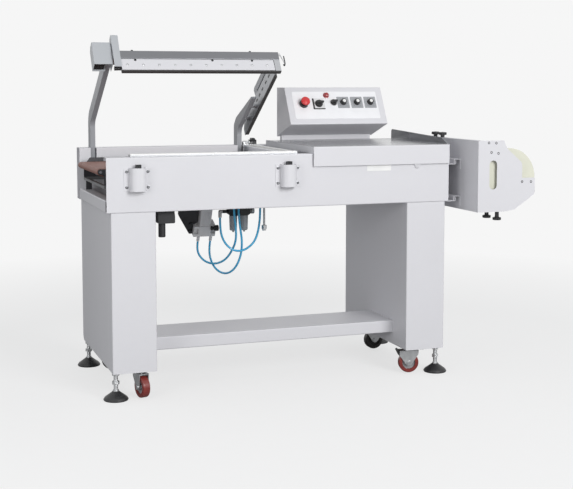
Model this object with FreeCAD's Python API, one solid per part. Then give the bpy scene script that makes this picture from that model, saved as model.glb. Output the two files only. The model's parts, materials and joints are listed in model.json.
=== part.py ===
import FreeCAD, Part
import math
import os

# L bar sealer. Millimetres. While it is drawn, X runs from the left leg's outer face to the right,
# Y from the front panel to the back and Z up from the floor. Every piece is moved at the end, so
# that the origin is under the middle of the whole machine, on the floor.

# ---------------------------------------------------------------- driving sizes
# stand
leg_span = 1360.0            # outside of one leg to outside of the other
leg_width = 168.0
leg_depth = 643.0
table_height = 936.0         # working height: the top of the film table
leg_heel_radius = 30.0       # rounded rear lower corner of a leg
foot_height = 105.0          # floor to the underside of a leg
base_plate = 6.0
sheet = 2.0                  # painted body sheet
bend = 2.0                   # inner bend radius of the sheet
fit_gap = 0.3                # clearance between pieces of different bodies
running_gap = 0.05           # radial, where one piece turns in another
shelf_front = 129.0
shelf_depth = 234.0
shelf_lip = 50.0

# levelling feet
foot_inset = 18.0
foot_front_inset = 38.0
foot_back_inset = 28.0
pad_radius = 47.0
pad_height = 33.0
stem_radius = 8.0
nut_flats = 24.0
nut_height = 12.0
lock_nut_drop = 45.0         # lock nut, below the leg

# castors
castor_inset = 112.0
castor_front_inset = 50.0
castor_back_inset = 143.0
wheel_radius = 41.0
wheel_width = 31.0
wheel_lift = 3.0             # the machine stands on its feet, the wheels just clear the floor
castor_trail = 20.0
castor_plate = 75.0
castor_plate_thickness = 2.5
race_height = 7.5
king_radius = 5.0
king_head = 5.0
fork_sheet = 3.0
axle_radius = 5.0
pedal_reach = 33.0           # axle to pedal pin, along the fork
pedal_rise = 40.0            # axle to pedal pin, upwards
pedal_pin_radius = 3.0

# body
body_overhang = 15.0
body_height = 204.0
panel_flange = 45.0          # top flange of the front panel, which carries the front jaw
panel_foot = 27.0            # its lower flange
panel_return = 14.0          # turned-down edge of the top flange
rear_beam_depth = 68.0
rear_beam_rise = 7.0         # the rear beam stands this much higher than the front panel
end_beam_width = 40.0
end_beam_height = 45.0
end_flange = 25.0            # flanges of the right end panel
rail_inset = 185.0           # cross rail under the body, in front of the rear beam
rail_size = 40.0
rail_wall = 3.0
slot_side = 2.0              # room beside a lever in its slot
crank_slot = 28.0

# film table
table_left = 790.0
table_rise = 27.0            # above the top of the body
table_skirt = 76.0
table_front_gap = 8.0
table_sheet = 2.0
table_flange = 42.0

# conveyor
roller_radius = 10.0
idler_x = -20.0
idler_drop = 58.0            # drops are below the top of the body
drive_x = 208.0
drive_drop = 129.0
drive_radius = 25.0
nose_x = 648.0
nose_drop = 55.0
nose_radius = 8.0
idler_shaft_radius = 5.0
drive_shaft_radius = 8.0
belt_thickness = 2.0
belt_front = 90.0
belt_back_gap = 65.0         # belt to rear beam
conveyor_rail = 3.0
conveyor_side_gap = 6.0
conveyor_low = 119.0         # lower and upper edge of the side rails, below the top of the body
conveyor_high = 29.0
motor_width = 45.0

# sealing arm, sized closed and then swung open
pivot_inset = 31.0           # from the back of the body
pivot_drop = 97.0            # below its top
arm_open = 33.0              # degrees from closed to open
shaft_radius = 15.0
lever_thickness = 20.0
lever_width = 50.0
lever_left_x = 33.0
lever_right_x = 664.0
bar_front = 15.0             # front face of the closed front bar
bar_lift = 15.0              # its underside above the top of the body
bar_height = 88.0
bar_depth = 45.0
bar_cap = 37.0               # height of the grey upper profile of the front bar
bar_right = 722.0
bracket_width = 24.0         # corner bracket under the bar's right end
rivet_pitch = 62.0
side_x = 702.0               # left face of the slotted side plate
side_plate = 4.0
side_width = 14.0
side_height = 62.0
side_end_inset = 92.0       # end of the side bar, in front of the pivot
side_slots = (52.0, 99.0, 150.0, 195.0, 236.0, 385.0)    # behind the front bar
strip_drop = 3.0             # the sealing strips stand this far below the bars
strip_lip = 5.0
pad_thickness = 3.7
jaw_left = 76.0
jaw_depth = 35.0
jaw_height = 50.0
jaw_width = 40.0
seal_gap = 0.3               # left between strip and pad when closed
cover_sheet = 2.0
end_box_width = 72.0
end_box_height = 100.0
end_box_depth = 50.0
end_box_lift = 32.0          # above the underside of the bar
spring_cover_width = 27.0
spring_cover_height = 144.0
spring_cover_lift = 14.0
hood_length = 248.0
hood_height = 38.0

# cylinder that swings the arm
crank_length = 150.0
crank_open = 9.0             # degrees below level with the arm open
crank_x = 505.0
crank_thickness = 12.0
pin_radius = 6.0
barrel_size = 50.0
barrel_length = 145.0
barrel_gap = 42.0            # crank pin to barrel with the rod drawn in
bore_radius = 16.0
rod_radius = 8.0
front_cap_length = 24.0
rear_cap_width = 96.0
rear_cap_length = 50.0
port_offsets = (-16.0, 39.0)
port_length = 38.0
stay_reach = 116.0

# magnets on the front panel
magnet_x = (100.0, 686.0)
magnet_lift = 80.0           # above the underside of the body
cover_height = 86.0
cover_width = 60.0
cover_depth = 38.0
cover_flange = 20.0
cover_screw = 14.0           # cover screws from its top and bottom edges
screw_radius = 2.1

# control box
box_width = 445.0
box_height = 213.0
box_shift = -10.0            # middle of the box from the middle of the table
box_lift = 13.0              # above the film table
box_back_inset = 41.0
box_top_depth = 96.0
box_depth = 181.0
box_lip = 58.0               # lower front edge, above the underside
box_sheet = 1.5
overlay_margin = 28.0
overlay_low = 26.0           # along the slope, from the lip
overlay_high = 156.0
overlay_thickness = 1.0
dial_plate = 1.5
control_row = 103.0          # along the slope, from the lip
stop_row = 97.0
lamp_row = 137.0
control_hole = 8.0
stop_spot = -149.0           # along the face, from the middle of the box
cam_spot = -80.5
lamp_spot = -40.0
selector_spot = -11.0
dial_spots = (33.5, 96.5, 159.5)

# film cradle at the right end
hook_pitch = 150.0
hook_drop = 34.0             # top of the upper hook, below the top of the body
hook_sheet = 3.0
hook_front = 14.0
hook_length = 366.0
rail_reach = 40.0
cradle_gap = 62.0            # body to the cradle's side plate
cradle_front = -132.0
cradle_length = 532.0
cradle_rise = 45.0           # above the top of the body
cradle_drop = 35.0           # below its underside
cradle_sheet = 2.0
cradle_floor = 112.0
bearing_plate = 8.0
roll_reach = 148.0           # cradle's side plate to the roll's axis
roll_lift = 100.0            # axis above the underside of the body
roll_radius = 117.0
roll_length = 500.0
roll_shaft_radius = 12.5
core_radius = 38.0
knob_radius = 17.0

# air supply
air_x = 568.0
air_unit_width = 93.0
air_unit_back = 20.0         # behind the front of the cross rail
air_drops = (15.0, 72.0, 141.0)      # bonnet top, heads and bowls below the body
air_ports = (14.0, 34.0, 128.0)
inlet_spot = 145.0
elbow_reach = 34.0
bowl_radius = 17.0
tube_radius = 4.5

# ---------------------------------------------------------------- what follows from them
body_top = table_height - table_rise
body_z = body_top - body_height
body_left = -body_overhang
body_right = leg_span + body_overhang
beam_front = leg_depth - rear_beam_depth
beam_top = body_top + rear_beam_rise
right_leg_x = leg_span - leg_width
foot_y_back = leg_depth - foot_back_inset
castor_y_back = leg_depth - castor_back_inset
axle_z = wheel_lift + wheel_radius
castor_plate_z = foot_height - castor_plate_thickness
fork_top = castor_plate_z - race_height - fit_gap
pedal_pin_x = castor_trail + pedal_reach
pedal_pin_z = axle_z + pedal_rise
rail_y = beam_front - rail_inset

idler_z = body_top - idler_drop
drive_z = body_top - drive_drop
nose_z = body_top - nose_drop
belt_back = beam_front - belt_back_gap
belt_width = belt_back - belt_front

pivot_y = leg_depth - pivot_inset
pivot_z = body_top - pivot_drop
bar_bottom = body_top + bar_lift
bar_top = bar_bottom + bar_height
cap_low = bar_top - bar_cap
side_low = bar_bottom - strip_drop + strip_lip
side_end = pivot_y - side_end_inset
side_front = bar_front + bar_depth
pad_top = bar_bottom - strip_drop - seal_gap
end_box_right = lever_left_x + lever_thickness + cover_sheet
end_box_left = end_box_right - end_box_width
spring_cover_left = end_box_right + cover_sheet
holder_left = spring_cover_left + spring_cover_width + 1.0
holder_right = bar_right - bracket_width - 2.0
crank_mid = crank_open + arm_open / 2.0
stroke = 2.0 * crank_length * math.sin(math.radians(arm_open / 2.0))
barrel_start = stroke + barrel_gap
port_x = [crank_x + offset for offset in port_offsets]
magnet_z = body_z + magnet_lift

table_right = body_right - sheet
box_left = (table_left + body_right) / 2.0 + box_shift - box_width / 2.0
box_middle = box_left + box_width / 2.0
box_bottom = table_height + box_lift
box_top = box_bottom + box_height
box_lip_height = box_bottom + box_lip
box_back = leg_depth - box_back_inset
box_top_front = box_back - box_top_depth
box_lip_front = box_back - box_depth
box_slope = math.atan2(box_top_front - box_lip_front, box_top - box_lip_height)
estop_x = box_middle + stop_spot
cam_x = box_middle + cam_spot
lamp_x = box_middle + lamp_spot
selector_x = box_middle + selector_spot
dial_x = [box_middle + spot for spot in dial_spots]

hook_top = body_top - hook_drop
cradle_x = body_right + cradle_gap
cradle_top = body_top + cradle_rise
cradle_bottom = body_z - cradle_drop
cradle_back = cradle_front + cradle_length
roll_x = cradle_x + roll_reach
roll_z = body_z + roll_lift
roll_end = cradle_front + (cradle_length - roll_length) / 2.0

air_unit_y = rail_y + air_unit_back
air_unit_top, air_unit_bottom, bowl_bottom = [body_z - drop for drop in air_drops]
port_y = rail_y - rail_size / 2.0
inlet_x = air_x + inlet_spot

x_low = idler_x - roller_radius - fit_gap - belt_thickness
x_high = roll_x + roll_radius
y_low = cradle_front
y_high = leg_depth
origin_shift = FreeCAD.Vector(-(x_low + x_high) / 2.0, -(y_low + y_high) / 2.0, 0.0)
X_AXIS = FreeCAD.Vector(1, 0, 0)
Y_AXIS = FreeCAD.Vector(0, 1, 0)
Z_AXIS = FreeCAD.Vector(0, 0, 1)
pivot = FreeCAD.Vector(0, pivot_y, pivot_z)


# ---------------------------------------------------------------- drawing helpers
def vec(x, y, z):
    return FreeCAD.Vector(x, y, z)


def outward(shape):
    """Give a solid its outward skin."""
    if shape.Volume < 0:
        shape.reverse()
    return shape


def block(x0, x1, y0, y1, z0, z1):
    return Part.makeBox(x1 - x0, y1 - y0, z1 - z0, vec(x0, y0, z0))


def bar(x, y, z, axis, radius, length):
    return Part.makeCylinder(radius, length, vec(x, y, z), axis)


def hexagon(x, y, z, flats, height):
    """An upright hexagonal prism."""
    corner = flats / math.sqrt(3.0)
    turns = [math.radians(60 * i) for i in range(7)]
    wire = Part.makePolygon([vec(x + corner * math.cos(a), y + corner * math.sin(a), z) for a in turns])
    return Part.Face(wire).extrude(vec(0, 0, height))


def rounded_wire(points, place):
    """A closed wire through (u, v) or (u, v, radius) corners; place turns (u, v) into a vector."""
    corners = [(p[0], p[1], p[2] if len(p) > 2 else 0.0) for p in points]
    starts, ends, arcs = [], [], []
    for i, (u, v, radius) in enumerate(corners):
        here = vec(u, v, 0)
        back = (vec(*corners[i - 1][:2], 0) - here).normalize()
        ahead = (vec(*corners[(i + 1) % len(corners)][:2], 0) - here).normalize()
        if radius <= 0:
            starts.append(here)
            ends.append(here)
            arcs.append(None)
            continue
        half = back.getAngle(ahead) / 2.0
        reach = radius / math.tan(half)
        middle = here + (back + ahead).normalize() * (radius / math.sin(half) - radius)
        starts.append(here + back * reach)
        ends.append(here + ahead * reach)
        arcs.append(middle)
    edges = []
    for i in range(len(corners)):
        a, m, b = starts[i], arcs[i], ends[i]
        if m is not None:
            edges.append(Part.Arc(place(a.x, a.y), place(m.x, m.y), place(b.x, b.y)).toShape())
        c = starts[(i + 1) % len(corners)]
        if (c - b).Length > 1e-6:
            edges.append(Part.LineSegment(place(b.x, b.y), place(c.x, c.y)).toShape())
    return Part.Wire(edges)


def prism(points, plane, start, length):
    """Extrude a rounded outline: 'yz' along X, 'xz' along Y, 'xy' along Z."""
    places = {
        "yz": (lambda u, v: vec(start, u, v), X_AXIS),
        "xz": (lambda u, v: vec(u, start, v), Y_AXIS),
        "xy": (lambda u, v: vec(u, v, start), Z_AXIS),
    }
    place, axis = places[plane]
    return outward(Part.Face(rounded_wire(points, place)).extrude(axis * length))


def bent(path, thickness, radius):
    """Closed outline of a bent sheet that lies to the left of its path."""
    points = [vec(u, v, 0) for u, v in path]
    runs = [(b - a).normalize() for a, b in zip(points, points[1:])]
    lefts = [vec(-d.y, d.x, 0) for d in runs]
    outer, inner = [], []
    for i, p in enumerate(points):
        if i == 0 or i == len(points) - 1:
            left = lefts[0] if i == 0 else lefts[-1]
            outer.append((p.x, p.y, 0.0))
            q = p + left * thickness
            inner.append((q.x, q.y, 0.0))
            continue
        before, after = lefts[i - 1], lefts[i]
        half = before.getAngle(after) / 2.0
        q = p + (before + after).normalize() * (thickness / math.cos(half))
        turns_left = runs[i - 1].cross(runs[i]).z > 0
        outer.append((p.x, p.y, radius + thickness if turns_left else radius))
        inner.append((q.x, q.y, radius if turns_left else radius + thickness))
    return outer + inner[::-1]


def revolved(points, x, y, z, axis):
    """Turn a rounded (radius, height) outline about an axis through (x, y, z)."""
    face = Part.Face(rounded_wire(points, lambda u, v: vec(u, 0, v)))
    solid = face.revolve(vec(0, 0, 0), Z_AXIS, 360)
    solid.Placement = FreeCAD.Placement(vec(x, y, z), FreeCAD.Rotation(Z_AXIS, axis))
    return outward(solid)


def loop_wire(circles, extra, y):
    """The tight loop round circles (x, z, radius), listed anticlockwise as seen from the front."""
    normals = []
    for i, (x, z, r) in enumerate(circles):
        x2, z2, r2 = circles[(i + 1) % len(circles)]
        gap = math.hypot(x2 - x, z2 - z)
        dx, dz = (x2 - x) / gap, (z2 - z) / gap
        along = (r - r2) / gap
        across = math.sqrt(1.0 - along * along)
        normals.append(math.atan2(dz * along - dx * across, dx * along + dz * across))
    edges, previous = [], None
    for i, (x, z, r) in enumerate(circles):
        a0, a1 = normals[i - 1], normals[i]
        if a1 < a0:
            a1 += 2 * math.pi
        spots = [vec(x + (r + extra) * math.cos(a), y, z + (r + extra) * math.sin(a))
                 for a in (a0, (a0 + a1) / 2.0, a1)]
        if previous:
            edges.append(Part.LineSegment(previous, spots[0]).toShape())
        else:
            first = spots[0]
        edges.append(Part.Arc(*spots).toShape())
        previous = spots[2]
    edges.append(Part.LineSegment(previous, first).toShape())
    return Part.Wire(edges)


def swing(shape, degrees=-arm_open):
    """Swing a piece of the arm about its pivot; minus is up, to the open rest place."""
    turned = shape.copy()
    turned.rotate(pivot, X_AXIS, degrees)
    return turned


def on_face(shape, x, row):
    """Stand a piece drawn at the origin, front along -Y, on the sloping control face."""
    placed = shape.copy()
    placed.rotate(vec(0, 0, 0), X_AXIS, -math.degrees(box_slope))
    placed.translate(vec(x, box_lip_front + row * math.sin(box_slope),
                         box_lip_height + row * math.cos(box_slope)))
    return placed


def export(name, *solids):
    """Move solids into the part's frame and write them as one named piece."""
    shape = solids[0] if len(solids) == 1 else Part.makeCompound(list(solids))
    moved = shape.copy()
    moved.translate(origin_shift)
    moved.exportStep("parts/" + name + ".step")


# ---------------------------------------------------------------- stand
def leg(x):
    """Box column of folded sheet with a welded base plate, open at the top."""
    def side(wall, top):
        return [(wall, foot_height + wall), (leg_depth - wall, foot_height + wall, leg_heel_radius - wall),
                (leg_depth - wall, top), (wall, top)]
    outer = prism(side(0, body_z), "yz", x, leg_width)
    corners = [e for e in outer.Edges if abs(e.tangentAt(e.FirstParameter).z) > 0.999]
    outer = outer.makeFillet(bend + sheet, corners)
    inner = prism(side(sheet, body_z + 1), "yz", x + sheet, leg_width - 2 * sheet)
    floor = prism([(sheet, foot_height + sheet), (leg_depth - leg_heel_radius, foot_height + sheet),
                   (leg_depth - leg_heel_radius, foot_height + sheet + base_plate),
                   (sheet, foot_height + sheet + base_plate)], "yz", x + sheet, leg_width - 2 * sheet)
    return outer.cut(inner).fuse(floor)


def mirror_x(x):
    """The matching place on the right leg."""
    return leg_span - x


def feet_spots():
    return [(x, y) for y in (foot_front_inset, foot_y_back) for x in (foot_inset, mirror_x(foot_inset))]


# name: swivel place, direction of trail in degrees from +X, braked
castors = {
    "front_left": (castor_inset, castor_front_inset, -76.0, False),
    "front_right": (mirror_x(castor_inset), castor_front_inset, 166.0, True),
    "rear_left": (castor_inset, castor_y_back, 150.0, False),
    "rear_right": (mirror_x(castor_inset), castor_y_back, 0.0, True),
}


def stand():
    left, right = leg(0.0), leg(right_leg_x)
    for x, y in feet_spots():
        hole = bar(x, y, foot_height - 1, Z_AXIS, stem_radius + running_gap, 20)
        left, right = left.cut(hole), right.cut(hole)
    for spot in castors.values():
        hole = bar(spot[0], spot[1], foot_height - 1, Z_AXIS, king_radius + 1, 20)
        left, right = left.cut(hole), right.cut(hole)
    export("leg_left", left)
    export("leg_right", right)

    lip = foot_height + shelf_lip
    path = [(shelf_front + shelf_depth - 15, lip), (shelf_front + shelf_depth, lip),
            (shelf_front + shelf_depth, lip + shelf_lip), (shelf_front, lip + shelf_lip),
            (shelf_front, lip), (shelf_front + 15, lip)]
    shelf = prism(bent(path, sheet, bend), "yz", leg_width, right_leg_x - leg_width)
    for x in (leg_width, right_leg_x - sheet):
        tab = block(x, x + sheet, shelf_front + 2 * sheet, shelf_front + shelf_depth - 2 * sheet,
                    lip + 8, lip + shelf_lip - sheet)
        shelf = shelf.fuse(tab)
    export("lower_shelf", shelf)

    feet = []
    for x, y in feet_spots():
        dome = [(0, 0), (pad_radius - 2, 0, 1), (pad_radius, 4, 1.5), (pad_radius - 5, 12, 14),
                (stem_radius + 8, pad_height - 2, 4), (stem_radius + 6, pad_height), (0, pad_height)]
        foot = revolved(dome, x, y, 0, Z_AXIS)
        stem = bar(x, y, pad_height, Z_AXIS, stem_radius, foot_height + base_plate + 20 - pad_height)
        stem = stem.fuse(bar(x, y, pad_height, Z_AXIS, stem_radius + 3, 6))
        for low in (foot_height - nut_height, foot_height - lock_nut_drop):
            stem = stem.fuse(hexagon(x, y, low, nut_flats, nut_height))
        feet.append(foot.fuse(stem))
    export("levelling_feet", *feet)


def place_castor(shape, spot):
    x, y, turn, _ = spot
    placed = shape.copy()
    placed.rotate(vec(0, 0, 0), Z_AXIS, turn)
    placed.translate(vec(x, y, 0))
    return placed


def castor_top():
    half = castor_plate / 2.0
    plate = prism([(-half, -half, 6), (half, -half, 6), (half, half, 6), (-half, half, 6)],
                  "xy", castor_plate_z, foot_height - castor_plate_z)
    race = revolved([(0, 0), (24, 0, 2), (27, race_height), (0, race_height)],
                    0, 0, castor_plate_z - race_height, Z_AXIS)
    king_low = fork_top - fork_sheet - fit_gap - king_head
    king = bar(0, 0, king_low, Z_AXIS, king_radius, castor_plate_z - king_low)
    head = bar(0, 0, king_low, Z_AXIS, king_radius + 4, king_head)
    return plate.fuse([race, king, head])


def fork(braked):
    """Two cheeks and a top web, with the axle and, on a braked castor, the pedal's pin."""
    inside = wheel_width / 2.0 + 1.5
    outside = inside + fork_sheet
    heel = [(pedal_pin_x + 6, fork_top, 3), (pedal_pin_x + 6, pedal_pin_z - 8, 5)] if braked else \
        [(castor_trail + 16, fork_top, 3)]
    cheek = [(-20, fork_top, 3)] + heel + [
        (castor_trail + 14, axle_z - 4, 9), (castor_trail + 4, axle_z - 12, 7),
        (castor_trail - 9, axle_z - 9, 8), (-18, fork_top - 16, 6)]
    sides = [prism(cheek, "xz", y, fork_sheet) for y in (-outside, inside)]
    reach = castor_trail + 16
    web = prism([(-20, -outside), (reach, -outside), (reach, outside), (-20, outside)],
                "xy", fork_top - fork_sheet, fork_sheet)
    web = web.cut(bar(0, 0, fork_top - 10, Z_AXIS, king_radius + running_gap, 20))
    axle = bar(castor_trail, -outside, axle_z, Y_AXIS, axle_radius, 2 * outside)
    heads = [bar(castor_trail, y, axle_z, Y_AXIS, axle_radius + 3.5, 4) for y in (-outside - 4, outside)]
    shape = web.fuse(sides + [axle] + heads)
    if braked:
        shape = shape.fuse(bar(pedal_pin_x, -outside, pedal_pin_z, Y_AXIS, pedal_pin_radius, 2 * outside))
    return shape


def wheel():
    half = wheel_width / 2.0
    hub = half + 1.0
    bore = axle_radius + running_gap
    profile = [(bore, -hub), (12, -hub), (12, -7), (25, -7), (27, -half + 1), (wheel_radius, -half + 1, 5),
               (wheel_radius, half - 1, 5), (27, half - 1), (25, 7), (12, 7), (12, hub), (bore, hub)]
    return revolved(profile, castor_trail, 0, axle_z, Y_AXIS)


def pedal():
    width = wheel_width - 4.0
    x, z = pedal_pin_x, pedal_pin_z
    plate = prism([(x + 12, z + 17, 2), (x + 20, z + 13, 2), (x + 8, z - 10, 3), (x + 3, z - 12, 2),
                   (x - 5, z - 2, 3)], "xz", -width / 2.0, width)
    return plate.cut(bar(x, -width, z, Y_AXIS, pedal_pin_radius + running_gap, 2 * width))


def castor_set():
    export("castor_plates", *[place_castor(castor_top(), spot) for spot in castors.values()])
    for name, spot in castors.items():
        export("castor_fork_" + name, place_castor(fork(spot[3]), spot))
        export("castor_wheel_" + name, place_castor(wheel(), spot))
        if spot[3]:
            export("brake_pedal_" + name, place_castor(pedal(), spot))


# ---------------------------------------------------------------- body
def body():
    low, high = body_z, body_top
    path = [(panel_foot, low), (0, low), (0, high), (panel_flange, high), (panel_flange, high - panel_return)]
    front = prism(bent(path[::-1], sheet, bend), "yz", body_left, body_right - body_left)
    for x in magnet_x:
        for screw_x, screw_z in cover_screws(x):
            front = front.cut(bar(screw_x, -1, screw_z, Y_AXIS, screw_radius, sheet + 2))
    export("front_panel", front)

    back = leg_depth
    tube = prism([(beam_front, low, 3), (back, low, 3), (back, beam_top, 3), (beam_front, beam_top, 3)],
                 "yz", body_left, body_right - body_left)
    hollow = prism([(beam_front + sheet, low + sheet), (back - sheet, low + sheet),
                    (back - sheet, beam_top - sheet), (beam_front + sheet, beam_top - sheet)],
                   "yz", body_left - 1, body_right - body_left + 2)
    beam = tube.cut(hollow)
    for x in (lever_left_x, lever_right_x):
        slot = block(x - slot_side, x + lever_thickness + slot_side, beam_front - 1, back - sheet,
                     pivot_z - 8, beam_top + 1)
        beam = beam.cut(slot)
    beam = beam.cut(block(crank_x - crank_slot / 2, crank_x + crank_slot / 2, beam_front - 1,
                          beam_front + sheet + 1, pivot_z - 62, pivot_z + 20))
    export("rear_beam", beam)

    path = [(body_left + end_beam_width, low), (body_left, low), (body_left, low + end_beam_height),
            (body_left + end_beam_width, low + end_beam_height)]
    end_beam = prism(bent(path[::-1], sheet, bend), "xz", panel_foot, beam_front - panel_foot)
    export("end_beam_left", end_beam)

    path = [(body_right - end_flange, low), (body_right, low), (body_right, high),
            (body_right - end_flange, high)]
    panel = prism(bent(path, sheet, bend), "xz", panel_flange, beam_front - panel_flange)
    filler = block(body_right - sheet, body_right, sheet, panel_flange, low + sheet + bend,
                   high - panel_return)
    export("end_panel_right", panel.fuse([filler] + hooks()[0]))

    rail = prism([(rail_y, low, 3), (rail_y + rail_size, low, 3), (rail_y + rail_size, low + rail_size, 3),
                  (rail_y, low + rail_size, 3)], "yz", leg_width / 2.0, leg_span - leg_width)
    core = block(0, leg_span, rail_y + rail_wall, rail_y + rail_size - rail_wall,
                 low + rail_wall, low + rail_size - rail_wall)
    export("cross_rail", rail.cut(core))


def cover_screws(x):
    """Where the four screws of a magnet cover sit."""
    reach = (cover_width + cover_flange) / 2.0
    return [(x + side * reach, magnet_z + rise) for side in (-1, 1)
            for rise in (cover_screw, cover_height - cover_screw)]


def magnet_cover(x):
    """Half-round hood with two screw flanges and a slotted top."""
    half, wide = cover_width / 2.0, cover_width / 2.0 + cover_flange
    path = [(x - wide, -sheet), (x - half, -sheet), (x - half, -cover_depth), (x + half, -cover_depth),
            (x + half, -sheet), (x + wide, -sheet)]
    outline = bent(path, sheet, bend)
    crown = half - 8
    rounded = []
    for u, v, r in outline:
        if v < -cover_depth + sheet / 2.0:
            r = crown
        elif v < -cover_depth / 2.0:
            r = crown - sheet
        rounded.append((u, v, r))
    hood = prism(rounded, "xy", magnet_z, cover_height)
    lid = prism([(x - half + sheet, -sheet), (x - half + sheet, -cover_depth + sheet, crown - sheet),
                 (x + half - sheet, -cover_depth + sheet, crown - sheet), (x + half - sheet, -sheet)],
                "xy", magnet_z + cover_height - 4, sheet)
    lid = lid.cut(block(x - 12, x + 12, -cover_depth, -7, magnet_z, magnet_z + cover_height))
    hood = hood.fuse(lid)
    for screw_x, screw_z in cover_screws(x):
        hood = hood.cut(bar(screw_x, -3 * sheet, screw_z, Y_AXIS, screw_radius, 20))
    return hood


def magnet(x):
    """Round coil on a bracket, with the toothed pole block that looks out of the hood."""
    y = -cover_depth / 2.0 + 1.0
    coil_top = magnet_z + cover_height - 8
    coil = bar(x, y, magnet_z + 14, Z_AXIS, 14.0, coil_top - magnet_z - 14)
    foot = block(x - 12, x + 12, y, 0, magnet_z + 8, magnet_z + 14)
    pole = block(x - 10, x + 10, y - 8, y + 8, coil_top, coil_top + 20)
    for dx in (-4.0, 3.0):
        pole = pole.cut(block(x + dx, x + dx + 2, y - 9, y + 9, coil_top + 13, coil_top + 21))
    return coil.fuse([foot, pole])


def jaws():
    top = pad_top - pad_thickness
    side_left = side_x - (jaw_width - side_width) / 2.0
    side_right = side_left + jaw_width
    front = prism([(panel_flange - jaw_depth, body_top, 1), (panel_flange, body_top, 1),
                   (panel_flange, top, 1), (panel_flange - jaw_depth, top, 1)],
                  "yz", jaw_left, side_right - jaw_left)
    path = [(side_left + 12, top - jaw_height), (side_left, top - jaw_height), (side_left, top),
            (side_right, top), (side_right, top - jaw_height), (side_right - 12, top - jaw_height)]
    side = prism(bent(path[::-1], 3.0, bend), "xz", panel_flange, beam_front - panel_flange)
    export("jaw_rails", front, side)
    front_pad = prism([(13, top), (41, top), (41, pad_top, 1), (13, pad_top, 1)],
                      "yz", jaw_left, side_right - jaw_left)
    side_pad = block(side_left + 7, side_right - 7, panel_flange, side_end, top, pad_top)
    export("jaw_pads", front_pad, side_pad)
    export("magnet_covers", *[magnet_cover(x) for x in magnet_x])
    export("magnets", *[magnet(x) for x in magnet_x])


# ---------------------------------------------------------------- conveyor
def roller(x, z, radius, shaft, front_reach):
    """A roller with its shaft, which reaches past the front rail by front_reach."""
    drum = revolved([(0, 0), (radius - 1, 0), (radius, 1), (radius, belt_width - 1),
                     (radius - 1, belt_width), (0, belt_width)], x, belt_front, z, Y_AXIS)
    front = belt_front - conveyor_side_gap - conveyor_rail - front_reach
    end = belt_back + conveyor_side_gap + conveyor_rail
    return drum.fuse(bar(x, front, z, Y_AXIS, shaft, end - front))


def conveyor_side(y):
    """One side rail: a plate with a window, a nose for the idler and a drop for the drive roller."""
    low, high = body_top - conveyor_low, body_top - conveyor_high
    right = lever_right_x + lever_thickness + 2.0
    tip = idler_x - roller_radius
    shoulder = idler_x + 36
    outline = [(tip, idler_z - 9, 7), (shoulder - 24, idler_z - 9, 8), (shoulder - 24, low, 4),
               (drive_x - 40, low, 4), (drive_x - 30, drive_z - 22, 10), (drive_x + 30, drive_z - 22, 10),
               (drive_x + 40, low, 4), (right, low), (right, high), (shoulder, high, 6),
               (shoulder - 14, idler_z + 9, 6), (tip, idler_z + 9, 7)]
    window = [(shoulder + 20, low + 18, 8), (shoulder + 100, low + 18, 8), (shoulder + 100, high - 30, 8),
              (shoulder + 20, high - 30, 8)]
    side = prism(outline, "xz", y, conveyor_rail)
    side = side.cut(prism(window, "xz", y - 1, conveyor_rail + 2))
    for x, z, shaft in ((idler_x, idler_z, idler_shaft_radius), (drive_x, drive_z, drive_shaft_radius)):
        side = side.cut(bar(x, y - 1, z, Y_AXIS, shaft + running_gap, conveyor_rail + 2))
    return side


def conveyor():
    circles = [(drive_x, drive_z, drive_radius + fit_gap), (nose_x, nose_z, nose_radius + fit_gap),
               (idler_x, idler_z, roller_radius + fit_gap)]
    outer = Part.Face(loop_wire(circles, belt_thickness, belt_front))
    inner = Part.Face(loop_wire(circles, 0.0, belt_front))
    belt = outward(outer.cut(inner).extrude(vec(0, belt_width, 0)))
    export("conveyor_belt", belt)

    low = body_top - conveyor_low
    inside_y = belt_front - conveyor_side_gap
    inside_back = belt_back + conveyor_side_gap
    sides = [conveyor_side(inside_y - conveyor_rail), conveyor_side(inside_back)]
    crank_notch = block(crank_x - 17, crank_x + 17, belt_back, inside_back + 20, low - 1, pivot_z + 24)
    sides[1] = sides[1].cut(crank_notch)
    width = inside_back - inside_y
    bed_top = idler_z + roller_radius
    bed_left = idler_x + roller_radius + 12
    bed = prism([(bed_left, bed_top - 3, 1), (bed_left, bed_top), (nose_x, nose_z + nose_radius),
                 (nose_x + nose_radius, nose_z, nose_radius - 1), (nose_x, nose_z - nose_radius),
                 (nose_x - 30, bed_top - 3)], "xz", inside_y, width)
    cross = block(idler_x + 12, idler_x + 24, inside_y, inside_back, low, low + 10)
    foot_low = body_z + end_beam_height
    feet = [block(0, 24, y, y + conveyor_rail, foot_low, low + 8)
            for y in (inside_y - conveyor_rail, inside_back)]
    export("conveyor_frame", bed.fuse(sides + [cross] + feet))

    export("idler_roller", roller(idler_x, idler_z, roller_radius, idler_shaft_radius, 0.0))
    export("drive_roller", roller(drive_x, drive_z, drive_radius, drive_shaft_radius, motor_width - 8))

    x, z = drive_x, drive_z
    back = inside_y - conveyor_rail - 1
    case = prism([(x - 23, z - 124, 5), (x + 42, z - 124, 5), (x + 42, z - 96, 8), (x + 26, z + 20, 12),
                  (x - 23, z + 20, 12)], "xz", back - motor_width, motor_width)
    flange = prism([(x - 34, z - 34, 10), (x + 34, z - 34, 10), (x + 34, z + 30, 10), (x - 34, z + 30, 10)],
                   "xz", back - 7, 8)
    can = revolved([(0, 0), (12.5, 0, 2), (13.5, 3), (13.5, 60), (0, 60)],
                   x - 4, back - motor_width / 2.0, z - 177, Z_AXIS)
    shaft_hole = bar(x, back - motor_width - 1, z, Y_AXIS, drive_shaft_radius + running_gap, motor_width + 4)
    export("gearmotor", case.fuse([flange, can]).cut(shaft_hole))


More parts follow.
